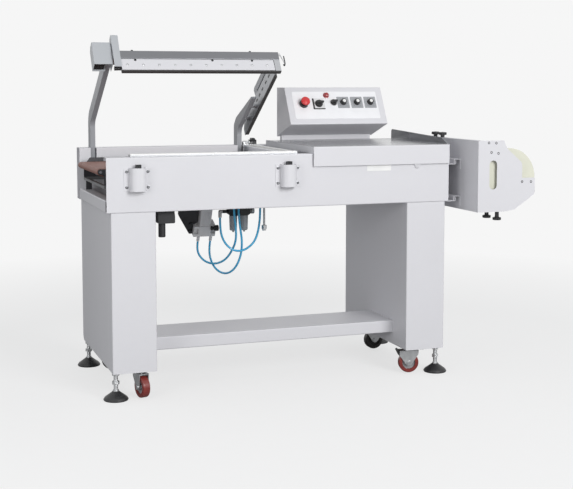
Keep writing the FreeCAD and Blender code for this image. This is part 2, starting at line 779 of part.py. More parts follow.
# ---------------------------------------------------------------- sealing arm
def offset_line(distance, along):
    """A point beside the closed lever's lower part, distance to its rear, along from the pivot."""
    lean = math.radians(arm_open)
    return (pivot_y + distance * math.cos(lean) - along * math.sin(lean),
            pivot_z + distance * math.sin(lean) + along * math.cos(lean))


def lever_points(top, bottom):
    """Corners of a lever's lower part, up to level edges at top and bottom of its forward part."""
    half = lever_width / 2.0
    lean = math.radians(arm_open)
    rise = (top - pivot_z - half * math.sin(lean)) / math.cos(lean)
    drop = (bottom - pivot_z + half * math.sin(lean)) / math.cos(lean)
    return [offset_line(half, -half), offset_line(half, rise), offset_line(-half, drop),
            offset_line(-half, -half)]


def with_shaft_hole(plate, x):
    return plate.cut(bar(x - 1, pivot_y, pivot_z, X_AXIS, shaft_radius + running_gap, lever_thickness + 2))


def lever_left():
    half = lever_width / 2.0
    level = bar_bottom + 75.5        # centre of the forward part
    top, bottom = level + half, level - half
    front = side_front - 8
    heel, rise, drop, toe = lever_points(top, bottom)
    outline = [heel + (half - 1,), rise + (70,), (front, top, 8), (front, bottom, 8), drop + (35,),
               toe + (half - 1,)]
    return with_shaft_hole(prism(outline, "yz", lever_left_x, lever_thickness), lever_left_x)


def lever_right():
    """The right lever narrows forwards, along the top of the slotted side plate."""
    half = lever_width / 2.0
    crest = bar_bottom + 70.0
    bottom = bar_bottom + 20.0
    tip = pivot_y - 359.0
    heel, rise, drop, toe = lever_points(crest - 10, bottom)
    outline = [heel + (half - 1,), rise + (28,), (pivot_y - 126, crest, 60), (tip, bottom + 9, 3),
               (tip - 3, bottom, 2), drop + (40,), toe + (half - 1,)]
    return with_shaft_hole(prism(outline, "yz", lever_right_x, lever_thickness), lever_right_x)


def crank():
    """Crank plate on the shaft, drawn closed, with the pin that works in the rod's fork."""
    angle = math.radians(crank_open + arm_open)
    y = pivot_y - crank_length * math.cos(angle)
    z = pivot_z - crank_length * math.sin(angle)
    hub, eye = shaft_radius + 6, pin_radius + 5
    spots = [(pivot_y, pivot_z, hub), (y, z, eye)]
    wire = loop_in_yz(spots, crank_x - crank_thickness / 2.0)
    plate = outward(Part.Face(wire).extrude(vec(crank_thickness, 0, 0)))
    pin = bar(crank_x - 19, y, z, X_AXIS, pin_radius, 38)
    return plate.fuse(pin)


def loop_in_yz(circles, x):
    """The outline of a two-eyed link, circles as (y, z, radius)."""
    (y1, z1, r1), (y2, z2, r2) = circles
    gap = math.hypot(y2 - y1, z2 - z1)
    aim = math.atan2(z2 - z1, y2 - y1)
    side = math.acos((r1 - r2) / gap)

    def spot(y, z, r, turn):
        return vec(x, y + r * math.cos(aim + turn), z + r * math.sin(aim + turn))
    edges = [
        Part.Arc(spot(y1, z1, r1, side), spot(y1, z1, r1, math.pi), spot(y1, z1, r1, -side)).toShape(),
        Part.LineSegment(spot(y1, z1, r1, -side), spot(y2, z2, r2, -side)).toShape(),
        Part.Arc(spot(y2, z2, r2, -side), spot(y2, z2, r2, 0), spot(y2, z2, r2, side)).toShape(),
        Part.LineSegment(spot(y2, z2, r2, side), spot(y1, z1, r1, side)).toShape(),
    ]
    return Part.Wire(edges)


def arm():
    shaft_left = lever_left_x - 4
    shaft_right = lever_right_x + lever_thickness + 4
    shaft = bar(shaft_left, pivot_y, pivot_z, X_AXIS, shaft_radius, shaft_right - shaft_left)
    for x in (lever_left_x + lever_thickness, lever_right_x - 10):
        shaft = shaft.fuse(bar(x, pivot_y, pivot_z, X_AXIS, shaft_radius + 6, 10))
    export("arm_shaft", swing(shaft.fuse(crank())))
    export("lever_left", swing(lever_left()))
    export("lever_right", swing(lever_right()))

    front_bar()
    side_bar()
    export("arm_covers", end_box(), spring_cover(), side_hood())


def front_bar():
    y, back, top = bar_front, bar_front + bar_depth, bar_top
    cap = prism([(y, cap_low, 2), (back, cap_low, 2), (back, top, 3), (y, top, 3)],
                "yz", end_box_right, bar_right - end_box_right)
    hollow = prism([(y + 3, cap_low + 3, 1), (back - 3, cap_low + 3, 1), (back - 3, top - 3, 1),
                    (y + 3, top - 3, 1)], "yz", end_box_right + 6, bar_right - end_box_right - 12)
    width = holder_right - holder_left
    holder = block(holder_left, holder_right, y + 4, y + 22, bar_bottom + 3, cap_low)
    export("front_bar", swing(cap.cut(hollow).fuse(holder)))

    plate = block(holder_left, holder_right, y + 2, y + 4, bar_bottom + 2, cap_low - 1)
    for i in range(int((width - rivet_pitch / 2) / rivet_pitch) + 1):
        plate = plate.cut(bar(holder_left + 22 + i * rivet_pitch, y, cap_low - 27, Y_AXIS, 5.0, 10))
    export("front_plate", swing(plate))


def side_bar():
    """Slotted plate behind the bar's right end, its corner bracket and the spacers to the lever."""
    top = side_low + side_height
    plate = prism([(bar_front + 22, side_low), (side_end, side_low), (side_end, side_low + 30, 6),
                   (side_end - 34, top, 10), (side_front + fit_gap, top), (side_front + fit_gap, cap_low),
                   (bar_front + 22, cap_low)], "yz", side_x, side_plate)
    middle = side_low + 0.58 * side_height
    for offset in side_slots:
        spot = side_front + offset
        slot = prism([(spot - 8, middle - 4, 3.9), (spot + 8, middle - 4, 3.9), (spot + 8, middle + 4, 3.9),
                      (spot - 8, middle + 4, 3.9)], "yz", side_x - 1, side_plate + 2)
        plate = plate.cut(slot)
    bracket = block(bar_right - bracket_width, bar_right, bar_front + 2, bar_front + 22, bar_bottom, cap_low)
    lever_face = lever_right_x + lever_thickness
    spacers = [bar(lever_face, pivot_y + reach, bar_bottom + rise, X_AXIS, 8.0, side_x - lever_face)
               for reach, rise in ((-282.0, 32.0), (-172.0, 40.0))]
    export("side_bar", swing(plate.fuse([bracket] + spacers)))

    low = bar_bottom - strip_drop
    back_x = side_x + side_plate
    front_strip = prism([(bar_front + 5, low, 1), (bar_front + 21, low, 1), (bar_front + 21, bar_bottom),
                         (bar_front + 5, bar_bottom)], "yz", holder_left, bar_right - holder_left)
    heel = block(holder_left, holder_right, bar_front + 5, bar_front + 21, bar_bottom, bar_bottom + 3)
    side_strip = prism([(side_x, low), (side_x + side_width, low, 2), (side_x + side_width, top - 6, 2),
                        (back_x, top - 6), (back_x, side_low), (side_x, side_low)],
                       "xz", side_front + fit_gap, side_end - 12 - side_front - fit_gap)
    export("seal_strips", swing(front_strip.fuse(heel)), swing(side_strip))


def end_box():
    """Terminal box round the front end of the left lever, open below."""
    t = cover_sheet
    front = bar_front + 10
    back = front + end_box_depth
    low = bar_bottom + end_box_lift
    high = low + end_box_height
    chamfer = 14
    outer = prism([(front, low), (back, low), (back, high - chamfer, 3), (back - chamfer, high, 3),
                   (front, high, 2)], "yz", end_box_left, end_box_width)
    inner = prism([(front + t, low - 1), (back - t, low - 1), (back - t, high - chamfer - 1, 2),
                   (back - chamfer - 1, high - t, 2), (front + t, high - t, 1)],
                  "yz", end_box_left + t, end_box_width - 2 * t)
    lever_room = block(lever_left_x - 1, lever_left_x + lever_thickness, back - 2 * t, back + 1,
                       low - 1, high - 22)
    return swing(outer.cut(inner).cut(lever_room))


def spring_cover():
    """Tall narrow cover in front of the bar's left end."""
    t = cover_sheet
    left, wide = spring_cover_left, spring_cover_width
    face = bar_front - t
    low = bar_bottom + spring_cover_lift
    tall = low + spring_cover_height
    shell = prism([(face, low), (face + 48, low), (face + 48, tall - 26), (face + 26, tall, 3),
                   (face, tall, 2)], "yz", left, wide)
    room = prism([(face + t, low - 1), (face + 49, low - 1), (face + 49, tall - 26),
                  (face + 26, tall - t, 2), (face + t, tall - t, 1)], "yz", left + t, wide - 2 * t)
    bar_room = block(left - 1, left + wide + 1, face + t, face + 60, low - 1, bar_top + fit_gap)
    return swing(shell.cut(room).cut(bar_room))


def side_hood():
    """Slim hood on the side plate, with a groove along its foot."""
    low = side_low + side_height
    front = side_front + 2
    end = front + hood_length
    hood = prism([(front, low), (end - 6, low), (end, low + hood_height - 8, 3),
                  (end - 10, low + hood_height, 4), (front, low + hood_height)],
                 "yz", side_x, side_width - 2)
    groove = prism([(front + 6, low + 2), (end - 34, low + 2), (end - 34, low + 11), (front + 6, low + 11)],
                   "yz", side_x - 1, 9)
    return swing(hood.cut(groove))


def shaft_bearings():
    """Three plummer blocks on the rear wall of the beam."""
    width = 24.0
    back = leg_depth - sheet
    blocks = []
    for x in (lever_left_x + lever_thickness + 10.5, 300.0, lever_right_x - 10.5 - width):
        profile = [(back, pivot_z - 34), (back, pivot_z + 34), (pivot_y - 2, pivot_z + 30, 12),
                   (pivot_y - 27, pivot_z + 8, 14), (pivot_y - 27, pivot_z - 8, 14),
                   (pivot_y - 2, pivot_z - 30, 12)]
        shape = prism(profile, "yz", x, width)
        blocks.append(shape.cut(bar(x - 1, pivot_y, pivot_z, X_AXIS, shaft_radius + running_gap, width + 2)))
    export("shaft_bearings", *blocks)


# ---------------------------------------------------------------- cylinder
def pin_open():
    angle = math.radians(crank_open)
    return pivot_y - crank_length * math.cos(angle), pivot_z - crank_length * math.sin(angle)


def tilt(shape):
    """Lean a piece drawn straight below the open crank pin into the cylinder's line."""
    y, z = pin_open()
    leaned = shape.copy()
    leaned.rotate(vec(crank_x, y, z), X_AXIS, crank_mid)
    return leaned


def cylinder():
    y, z = pin_open()
    half = barrel_size / 2.0
    top = z - barrel_start
    bottom = top - barrel_length
    tube = prism([(crank_x - half, y - half, 5), (crank_x + half, y - half, 5),
                  (crank_x + half, y + half, 5), (crank_x - half, y + half, 5)], "xy", bottom, barrel_length)
    for side in (-1, 1):
        for dx in (-9.0, 9.0):
            groove = block(crank_x + dx - 2, crank_x + dx + 2, y + side * half - 2, y + side * half + 2,
                           bottom + rear_cap_length, top - front_cap_length)
            tube = tube.cut(groove)
    wide = rear_cap_width / 2.0
    cap_top = bottom + rear_cap_length
    cap = prism([(crank_x - wide, bottom, 3), (crank_x + wide, bottom, 3), (crank_x + wide, cap_top, 3),
                 (crank_x - wide, cap_top, 3)], "xz", y - half - 3, barrel_size + 6)
    for side in (-1, 1):
        notch = block(crank_x + side * 36 - 9, crank_x + side * 36 + 9, y - half - 4, y - half + 10,
                      bottom + 12, cap_top - 12)
        cap = cap.cut(notch)
    ports = []
    for x in port_x:
        ports.append(bar(x, y, bottom - port_length, Z_AXIS, 6.5, port_length + 1))
        ports.append(hexagon(x, y, bottom - 12, 15.0, 8.0))
    rod_hole = bar(crank_x, y, bottom + 14, Z_AXIS, rod_radius + running_gap, barrel_length)
    bore = bar(crank_x, y, bottom + 14, Z_AXIS, bore_radius, barrel_length - 28)
    shape = tube.fuse([cap] + ports).cut(rod_hole).cut(bore)
    export("air_cylinder", tilt(shape))

    drift = crank_length * (1 - math.cos(math.radians(arm_open / 2.0)))
    reach = pin_radius + 0.4
    web, throat = 30.0, 20.0
    ear = [(y - drift - 13, z - 12, 8), (y - 13, z - throat), (y - 13, z - web), (y + 13, z - web),
           (y + 13, z + 13, 8), (y - drift - 13, z + 13, 8)]
    slot = [(y - drift - reach, z - reach, reach - 0.01), (y + reach, z - reach, reach - 0.01),
            (y + reach, z + reach, reach - 0.01), (y - drift - reach, z + reach, reach - 0.01)]
    ears = [prism(ear, "yz", crank_x + x, 8.0).cut(prism(slot, "yz", crank_x + x - 1, 10.0))
            for x in (-15.0, 7.0)]
    bridge = block(crank_x - 15, crank_x + 15, y - 13, y + 13, z - web, z - throat)
    piston_z = bottom + 18 + stroke
    rod = bar(crank_x, y, piston_z, Z_AXIS, rod_radius, z - throat - piston_z)
    piston = bar(crank_x, y, piston_z, Z_AXIS, bore_radius - running_gap, 14)
    export("piston_rod", tilt(bridge.fuse(ears + [rod, piston])))

    left, right = crank_x - half - 14, crank_x + half + 14
    stay_left = crank_x - stay_reach
    flange = prism([(left, y - 36, 6), (right, y - 36, 6), (right, y + 42), (left, y + 42)], "xy", top, 8)
    flange = flange.cut(bar(crank_x, y, top - 1, Z_AXIS, rod_radius + 3, 20))
    side = crank_x - half - 4
    stay = prism([(stay_left, top + 8, 4), (side, top + 8, 4), (side, bottom + 60, 4),
                  (crank_x - wide, cap_top, 2), (crank_x - wide, bottom + 4, 4),
                  (crank_x - wide - 14, bottom + 4, 6), (stay_left, bottom + 96, 10)], "xz", y - 8, 16)
    for rise in (16.0, 52.0):
        stay = stay.fuse(bar(crank_x - wide - 10, y - 13, bottom + rise, Y_AXIS, 8.0, 6))
    arm_plate = block(stay_left, crank_x - half, y - 8, y + 42, top, top + 8)
    hanger = block(stay_left, right, beam_front - 30, leg_depth - 4, body_z - 8, body_z)
    export("cylinder_bracket", tilt(flange.fuse([stay, arm_plate])).fuse(hanger))


# ---------------------------------------------------------------- film table and control box
def table():
    y0, y1 = -table_front_gap - table_sheet, beam_front
    low = body_top
    under = table_height - table_sheet
    path = [(y0, table_height - table_skirt), (y0, table_height), (y1, table_height), (y1, table_height - 22)]
    top = prism(bent(path[::-1], table_sheet, bend), "yz", table_left, table_right - table_left)
    left_lip = block(table_left, table_left + table_sheet, y0 + table_sheet, y1 - table_sheet, low, under)
    right_lip = block(table_right - table_sheet, table_right, y0 + table_sheet, y1 - table_sheet, low, under)
    rim = table_height + table_flange
    flange = prism([(12, table_height - 1), (y1 - 25, table_height - 1), (y1 - 25, rim, 12),
                    (60, rim - 18, 14), (12, table_height + 3, 2)],
                   "yz", table_right - table_sheet, table_sheet)
    export("film_table", top.fuse([left_lip, right_lip, flange]))


def control_box():
    profile = [(box_back, box_top, 3), (box_top_front, box_top, 4), (box_lip_front, box_lip_height, 4),
               (box_back, box_bottom, 3)]
    outer = prism(profile, "yz", box_left, box_width)
    t = box_sheet
    room = [(box_back - t, box_top - t, 1), (box_top_front + t, box_top - t, 2),
            (box_lip_front + 2.2 * t, box_lip_height + 0.2 * t, 2), (box_back - t, box_bottom + 1.4 * t, 1)]
    shell = outer.cut(prism(room, "yz", box_left + t, box_width - 2 * t))
    hole = control_hole + running_gap
    for x, row in control_spots():
        shell = shell.cut(on_face(bar(0, -10, 0, Y_AXIS, hole, 20), x, row))
    post_front = beam_front + 6
    left, right = box_left + 14, box_left + box_width - 14
    plinth = block(left, right, post_front, box_back, beam_top, box_bottom + 6)
    plinth = plinth.cut(block(left + 3, right - 3, post_front + 3, box_back - 3,
                              beam_top - 1, box_bottom + 3))
    export("control_box", shell.fuse(plinth.cut(outer)))

    low, high = overlay_low, overlay_high
    right = box_width - overlay_margin
    face = prism([(overlay_margin, low, 6), (right, low, 6), (right, high, 6), (overlay_margin, high, 6)],
                 "xz", -overlay_thickness, overlay_thickness)
    face = on_face(face, box_left, 0.0)
    for x, row in control_spots():
        face = face.cut(on_face(bar(0, -10, 0, Y_AXIS, hole, 20), x, row))
    export("control_face", face)

    plates = [face_plate(cam_x, stop_row, 54.0, 52.0)]
    plates += [face_plate(x, control_row, 54.0, 54.0) for x in dial_x]
    collar = revolved([(hole, 0), (20, 0, 1), (18, 9, 2), (hole, 9)], 0, -overlay_thickness, 0, -Y_AXIS)
    export("dial_plates", on_face(collar, estop_x, stop_row), *plates)

    stem = control_hole - 0.1
    lamp = revolved([(0, -18), (stem, -18), (stem, 0), (13, 0), (13, 3), (10.5, 4), (10.5, 12, 5), (0, 15)],
                    0, -overlay_thickness, 0, -Y_AXIS)
    export("pilot_lamp", on_face(lamp, lamp_x, lamp_row))


def face_plate(x, row, wide, tall):
    """Square plate under a dial, with a hole for its stem."""
    half, high = wide / 2.0, tall / 2.0
    shape = prism([(-half, -high, 2), (half, -high, 2), (half, high, 2), (-half, high, 2)],
                  "xz", -overlay_thickness - dial_plate, dial_plate)
    shape = shape.cut(bar(0, -10, 0, Y_AXIS, control_hole + running_gap, 20))
    return on_face(shape, x, row)


def control_spots():
    spots = [(estop_x, stop_row), (cam_x, stop_row), (lamp_x, lamp_row)]
    return spots + [(x, control_row) for x in [selector_x] + dial_x]


def fluted_knob(radius, height, flutes, depth, skirt):
    """A turned grip with flutes, on a stem that goes through the face; drawn along +Z."""
    grip = revolved([(0, 0), (radius + skirt, 0), (radius + skirt, 3, 1), (radius, 5),
                     (radius - 0.6, height, 1.5), (0, height)], 0, 0, 0, Z_AXIS)
    for i in range(flutes):
        turn = math.radians(360.0 * i / flutes)
        reach = radius + depth
        grip = grip.cut(bar(reach * math.cos(turn), reach * math.sin(turn), 5, Z_AXIS, 2.2 * depth, height))
    return grip.fuse(bar(0, 0, -16, Z_AXIS, control_hole - 0.1, 16))


def face_out(shape, x, row, lift):
    """Turn a piece drawn along +Z so that it stands on the control face."""
    turned = shape.copy()
    turned.rotate(vec(0, 0, 0), X_AXIS, 90)
    turned.translate(vec(0, -lift, 0))
    return on_face(turned, x, row)


def controls():
    cap = revolved([(0, 6), (10, 6), (10, 14), (20.5, 17, 3), (19, 25, 6), (0, 29)], 0, 0, 0, Z_AXIS)
    stem = bar(0, 0, -16, Z_AXIS, control_hole - 0.1, 24)
    export("estop_button", face_out(cap.fuse(stem), estop_x, stop_row, 9.0))
    plate_lift = overlay_thickness + dial_plate + fit_gap
    hub = fluted_knob(14.0, 12.0, 8, 1.0, 3.0)
    wing = prism([(-17, -4, 3.5), (17, -4, 3.5), (17, 4, 3.5), (-17, 4, 3.5)], "xy", 11, 12)
    export("cam_switch_knob", face_out(hub.fuse(wing), cam_x, stop_row, plate_lift))
    hub = fluted_knob(13.0, 8.0, 12, 0.8, 1.0)
    wing = prism([(-13, -4.5, 4), (13, -4.5, 4), (13, 4.5, 4), (-13, 4.5, 4)], "xy", 7, 14)
    export("selector_knob", face_out(hub.fuse(wing), selector_x, control_row,
                                     overlay_thickness + fit_gap))
    for i, x in enumerate(dial_x):
        knob = fluted_knob(12.0, 16.0, 12, 0.8, 2.0)
        export("dial_knob_%d" % (i + 1), face_out(knob, x, control_row, plate_lift))


# ---------------------------------------------------------------- film cradle
def hooks():
    """Rails on the machine and hooks on the cradle, at two heights."""
    rail_back = beam_front - 5
    rails, runners = [], []
    for drop in (0.0, hook_pitch):
        top = hook_top - drop
        shelf = top - 22
        lip_x = body_right + rail_reach
        path = [(body_right, shelf + 22), (body_right, shelf), (lip_x, shelf), (lip_x, shelf + 15)]
        rails.append(prism(bent(path, hook_sheet, 1.0), "xz", hook_front, rail_back - hook_front))
        inner = lip_x - hook_sheet - 6
        path = [(inner, shelf + hook_sheet + fit_gap), (inner, top), (cradle_x, top), (cradle_x, top - 41)]
        runners.append(prism(bent(path[::-1], hook_sheet, 1.0), "xz", hook_front, hook_length))
    return rails, runners


def cradle_outline():
    x, top, low = cradle_x, cradle_top, cradle_bottom
    nose = roll_x + 108.5
    seat = roll_z - 2
    return [(x, low), (x + 119, low, 12), (x + 163, low + 6, 20), (nose, low + 67.5, 14),
            (nose, seat, 3), (roll_x + 50, seat), (roll_x + 50, roll_z + 58, 24),
            (x + 128, top - 31, 20), (x + 114, top, 4), (x, top)]


def shaft_seat(y):
    """Bearing plate behind an end plate, with an open slot for the roll's shaft."""
    x, z = roll_x, roll_z
    notch = roll_shaft_radius + running_gap
    seat = prism([(x - 30, z - 50, 6), (x + 78, z - 50, 6), (x + 90, z - 8, 4), (x + 24, z - 4, 4),
                  (x + 24, z + 22, 4), (x - 24, z + 22, 4)], "xz", y, bearing_plate)
    seat = seat.cut(bar(x, y - 1, z, Y_AXIS, notch, bearing_plate + 2))
    return seat.cut(block(x - notch, x + notch, y - 1, y + bearing_plate + 1, z, z + 40))


def cradle():
    t = cradle_sheet
    x, low = cradle_x, cradle_bottom
    window = prism([(x + 50, low + 90, 16.9), (x + 84, low + 90, 16.9), (x + 84, low + 205, 16.9),
                    (x + 50, low + 205, 16.9)], "xz", cradle_front - 1, cradle_length + 2)
    ends = [prism(cradle_outline(), "xz", y, t).cut(window) for y in (cradle_front, cradle_back - t)]
    seats = [shaft_seat(cradle_front + t), shaft_seat(cradle_back - t - bearing_plate)]
    side = block(x, x + t, cradle_front, cradle_back, low, cradle_top)
    floor = block(x, x + cradle_floor, cradle_front, cradle_back, low, low + t)
    ledge = block(x, x + 26, cradle_front, cradle_back, cradle_top - t, cradle_top)
    frame = side.fuse(ends + seats + [floor, ledge] + hooks()[1])
    for knob_x, y, z in knob_spots():
        frame = frame.cut(bar(knob_x, y, z - 10, Z_AXIS, 4.0, 20))
    export("cradle_frame", frame)
    export("clamp_knobs", *[star_knob(*spot) for spot in knob_spots()])

    r, length = roll_radius, roll_length
    film = revolved([(core_radius, 0), (r - 2, 0, 1), (r, 2), (r, length - 2), (r - 2, length, 1),
                     (core_radius, length)], roll_x, roll_end, roll_z, Y_AXIS)
    reach = cradle_length / 2.0 - t - 1.0
    middle = cradle_front + cradle_length / 2.0
    shaft = bar(roll_x, middle - reach, roll_z, Y_AXIS, roll_shaft_radius, 2 * reach)
    cones = [revolved([(0, 0), (core_radius, 0), (core_radius, 18), (roll_shaft_radius + 6, 30), (0, 30)],
                      roll_x, y, roll_z, axis)
             for y, axis in ((roll_end, Y_AXIS), (roll_end + length, -Y_AXIS))]
    export("film_roll", film, shaft.fuse(cones))


def knob_spots():
    """Two clamp knobs under the floor and two on the top ledge."""
    under = [(cradle_x + 104, cradle_front + reach, cradle_bottom) for reach in (32, 115)]
    above = [(cradle_x + 13, cradle_front + reach, cradle_top) for reach in (336, 401)]
    return under + above


def star_knob(x, y, z):
    """Six-lobed clamp knob with its stud; the ones under the floor hang on longer necks."""
    upward = z > roll_z
    neck = 5.0 if upward else 20.0
    r = knob_radius
    grip = revolved([(0, neck), (r / 2, neck), (r / 2, neck + 4), (r, neck + 6, 2), (r, neck + 16, 3),
                     (0, neck + 18)], 0, 0, 0, Z_AXIS)
    for i in range(6):
        turn = math.radians(60.0 * i)
        grip = grip.cut(bar((r + 2) * math.cos(turn), (r + 2) * math.sin(turn), 0, Z_AXIS, 5.0, 60))
    knob = grip.fuse([bar(0, 0, 0, Z_AXIS, 8.0, neck + 1), bar(0, 0, -12, Z_AXIS, 3.9, 13)])
    if not upward:
        knob.rotate(vec(0, 0, 0), X_AXIS, 180)
    knob.translate(vec(x, y, z))
    return knob


# ---------------------------------------------------------------- air supply
def air_supply():
    y, low, high = air_unit_y, air_unit_bottom, air_unit_top
    half_depth = 20.0
    middle = air_x + air_unit_width / 2.0
    head = prism([(air_x, low + 8, 4), (air_x + 12, low, 4), (air_x + air_unit_width - 12, low, 4),
                  (air_x + air_unit_width, low + 8, 4), (air_x + air_unit_width, low + 36, 4),
                  (air_x, low + 36, 4)], "xz", y - half_depth, 2 * half_depth)
    split = block(middle - 1, middle + 1, y - half_depth - 1, y - half_depth + 5, low - 1, low + 40)
    neck = high - low - 34
    bonnet = revolved([(0, 0), (17, 0), (17, neck - 10, 3), (13, neck), (0, neck)],
                      air_x + 24, y, low + 34, Z_AXIS)
    knob = revolved([(0, 0), (8, 0), (8, 6), (13, 8, 2), (13, 20, 3), (0, 21)],
                    air_x + air_unit_width, y, low + 18, X_AXIS)
    x = air_x - elbow_reach
    elbow = bar(x, y, low + 18, X_AXIS, 7.0, elbow_reach + 1).fuse(bar(x, y, low - 6, Z_AXIS, 7.0, 24))
    elbow = elbow.fuse(Part.makeSphere(7.0, vec(x, y, low + 18)))
    hanger = block(air_x + 46, air_x + 86, y - 3, y + 3, low + 34, body_z)
    top = block(air_x + 46, air_x + 86, rail_y - 30, y + 18, body_z - 4, body_z)
    unit = head.cut(split).fuse([bonnet, knob, elbow, hanger, top])

    bowls = []
    for dx in (23.0, 70.0):
        tall = low - bowl_bottom
        bowls.append(revolved([(0, 0), (4, 0), (4, 5), (bowl_radius - 2, 8, 5), (bowl_radius, tall),
                               (0, tall)], air_x + dx, y, bowl_bottom, Z_AXIS))
    export("air_bowls", *bowls)

    manifold = block(air_x + 5, inlet_x + 8, port_y - 19, rail_y, body_z - 1, body_z + rail_size)
    stubs = [bar(x, port_y, body_z - 8, Z_AXIS, 7.0, 11) for x in valve_ports()]
    pipe = bar(inlet_x, port_y, body_z - 118, Z_AXIS, 4.5, 122)
    nuts = [hexagon(inlet_x, port_y, body_z - drop, flats, height) for drop, flats, height in
            ((10, 17.0, 8.0), (128, 19.0, 16.0), (135, 14.0, 8.0))]
    bore = bar(inlet_x, port_y, body_z - 136, Z_AXIS, 3.0, 40)
    export("air_unit", unit.fuse([manifold] + stubs + [pipe] + nuts).cut(bore))


def valve_ports():
    return [air_x + offset for offset in air_ports]


def port_mouth(x):
    """Mouth of a fitting under the leaning cylinder, and the way it points."""
    y, z = pin_open()
    lean = math.radians(crank_mid)
    down = barrel_start + barrel_length + port_length
    return (vec(x, y + down * math.sin(lean), z - down * math.cos(lean)),
            vec(0, math.sin(lean), -math.cos(lean)))


def tube(points):
    """Round tube along straight runs joined by tangent arcs as large as the runs allow."""
    runs = [b - a for a, b in zip(points, points[1:])]
    edges, at, radii = [], points[0], []
    for i in range(1, len(points) - 1):
        before, after = runs[i - 1], runs[i]
        turn = before.getAngle(after)
        reach = 0.45 * min(before.Length, after.Length)
        radius = reach / math.tan(turn / 2.0)
        radii.append(radius)
        back, ahead = -before.normalize(), vec(*after).normalize()
        here = points[i]
        start, end = here + back * reach, here + ahead * reach
        middle = here + (back + ahead).normalize() * (radius / math.cos(turn / 2.0) - radius)
        edges.append(Part.LineSegment(at, start).toShape())
        edges.append(Part.Arc(start, middle, end).toShape())
        at = end
        runs[i - 1] = before
        runs[i] = points[i + 1] - points[i]
    edges.append(Part.LineSegment(at, points[-1]).toShape())
    path = Part.Wire(edges)
    first = (points[1] - points[0]).normalize()
    section = Part.Wire([Part.Circle(points[0], first, tube_radius).toShape()])
    solid = outward(path.makePipeShell([section], True, False))
    expected = math.pi * tube_radius ** 2 * path.Length
    print("tube: length %.0f mm, tightest arc %.0f mm, volume over section times length %.4f"
          % (path.Length, min(radii), solid.Volume / expected))
    return solid


def air_tubes():
    a, b, c = [vec(x, port_y, body_z - 8) for x in valve_ports()]
    start = vec(air_x - elbow_reach, air_unit_y, air_unit_bottom - 6)
    export("air_tube_supply", tube([
        start, start + vec(0, 0, -42), start + vec(8, 1, -84), start + vec(29, 0, -120),
        start + vec(62, -5, -143), start + vec(100, -13, -141), start + vec(134, -22, -115),
        c + vec(-12, 9, -152), c + vec(-3, 2, -101), c + vec(0, 0, -49), c]))
    left, lean = port_mouth(port_x[0])
    export("air_tube_left", tube([
        left, left + lean * 38, left + vec(9, 14, -68), left + vec(33, -8, -94),
        left + vec(64, -48, -98), left + vec(94, -94, -76), left + vec(111, -140, -30),
        a + vec(18, 28, -167), a + vec(8, 0, -107), a + vec(0, 0, -52), a]))
    right, lean = port_mouth(port_x[1])
    export("air_tube_right", tube([
        right, right + lean * 42, right + vec(4, 20, -80), right + vec(16, -3, -119),
        right + vec(36, -41, -139), right + vec(58, -85, -135), right + vec(78, -129, -101),
        right + vec(88, -167, -43), b + vec(22, 22, -169), b + vec(4, -6, -105),
        b + vec(0, 0, -52), b]))


# ---------------------------------------------------------------- build
os.makedirs("parts", exist_ok=True)
stand()
castor_set()
body()
jaws()
conveyor()
arm()
shaft_bearings()
cylinder()
table()
control_box()
controls()
cradle()
air_supply()
air_tubes()
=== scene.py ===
"""L bar sealer: finishes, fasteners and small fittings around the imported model. Metres."""

import json
import math

import bpy
from mathutils import Matrix, Vector


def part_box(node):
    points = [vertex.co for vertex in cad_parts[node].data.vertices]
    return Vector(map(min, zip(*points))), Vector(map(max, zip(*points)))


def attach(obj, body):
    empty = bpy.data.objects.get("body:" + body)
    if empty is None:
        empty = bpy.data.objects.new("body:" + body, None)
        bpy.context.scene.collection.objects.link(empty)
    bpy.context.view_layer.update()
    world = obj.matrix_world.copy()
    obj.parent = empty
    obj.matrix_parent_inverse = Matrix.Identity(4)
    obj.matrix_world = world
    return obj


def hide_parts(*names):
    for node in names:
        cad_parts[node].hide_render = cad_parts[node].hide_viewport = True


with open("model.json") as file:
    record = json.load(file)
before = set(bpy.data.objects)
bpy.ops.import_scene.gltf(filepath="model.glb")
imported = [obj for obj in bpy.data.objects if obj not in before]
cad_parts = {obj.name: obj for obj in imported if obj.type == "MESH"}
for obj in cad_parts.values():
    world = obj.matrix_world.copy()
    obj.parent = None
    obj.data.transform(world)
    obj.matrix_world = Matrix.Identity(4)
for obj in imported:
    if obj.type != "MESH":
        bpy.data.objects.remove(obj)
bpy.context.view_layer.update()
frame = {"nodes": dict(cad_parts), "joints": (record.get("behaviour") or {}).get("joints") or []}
nodes = frame["nodes"]
joints = {joint["name"]: joint for joint in frame["joints"]}

MM = 0.001
UP = Vector((0, 0, 1))
DOWN = -UP
RIGHT = Vector((1, 0, 0))
LEFT = -RIGHT
BACK = Vector((0, 1, 0))
FRONT = -BACK

# ---------------------------------------------------------------- measuring
# millimetres are counted from the left leg's outer face, the front panel's face and the floor
left_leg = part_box("leg_left")[0]
corner = Vector((left_leg.x, left_leg.y, 0))


def spot(x, y, z):
    """A place in millimetres from the measuring corner."""
    return corner + Vector((x, y, z)) * MM


def edges(node):
    """A node's lowest and highest corners, in millimetres from the measuring corner."""
    low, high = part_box(node)
    return (low - corner) / MM, (high - corner) / MM


# shapes on the arm are drawn with the arm closed and swung open, as it stands at rest
pivot = Vector(joints["arm_hinge"]["pos_m"])
opening = Matrix.Rotation(-math.radians(joints["arm_hinge"]["range_deg"][1]), 4, "X")
swing = Matrix.Translation(pivot) @ opening @ Matrix.Translation(-pivot)
on_machine = Matrix.Translation(corner)
on_arm = swing @ on_machine


def stand(place, toward):
    """Set a shape that was drawn on +Z at a place in millimetres, looking the given way."""
    return Matrix.Translation(Vector(place) * MM) @ toward.to_track_quat("Z", "Y").to_matrix().to_4x4()


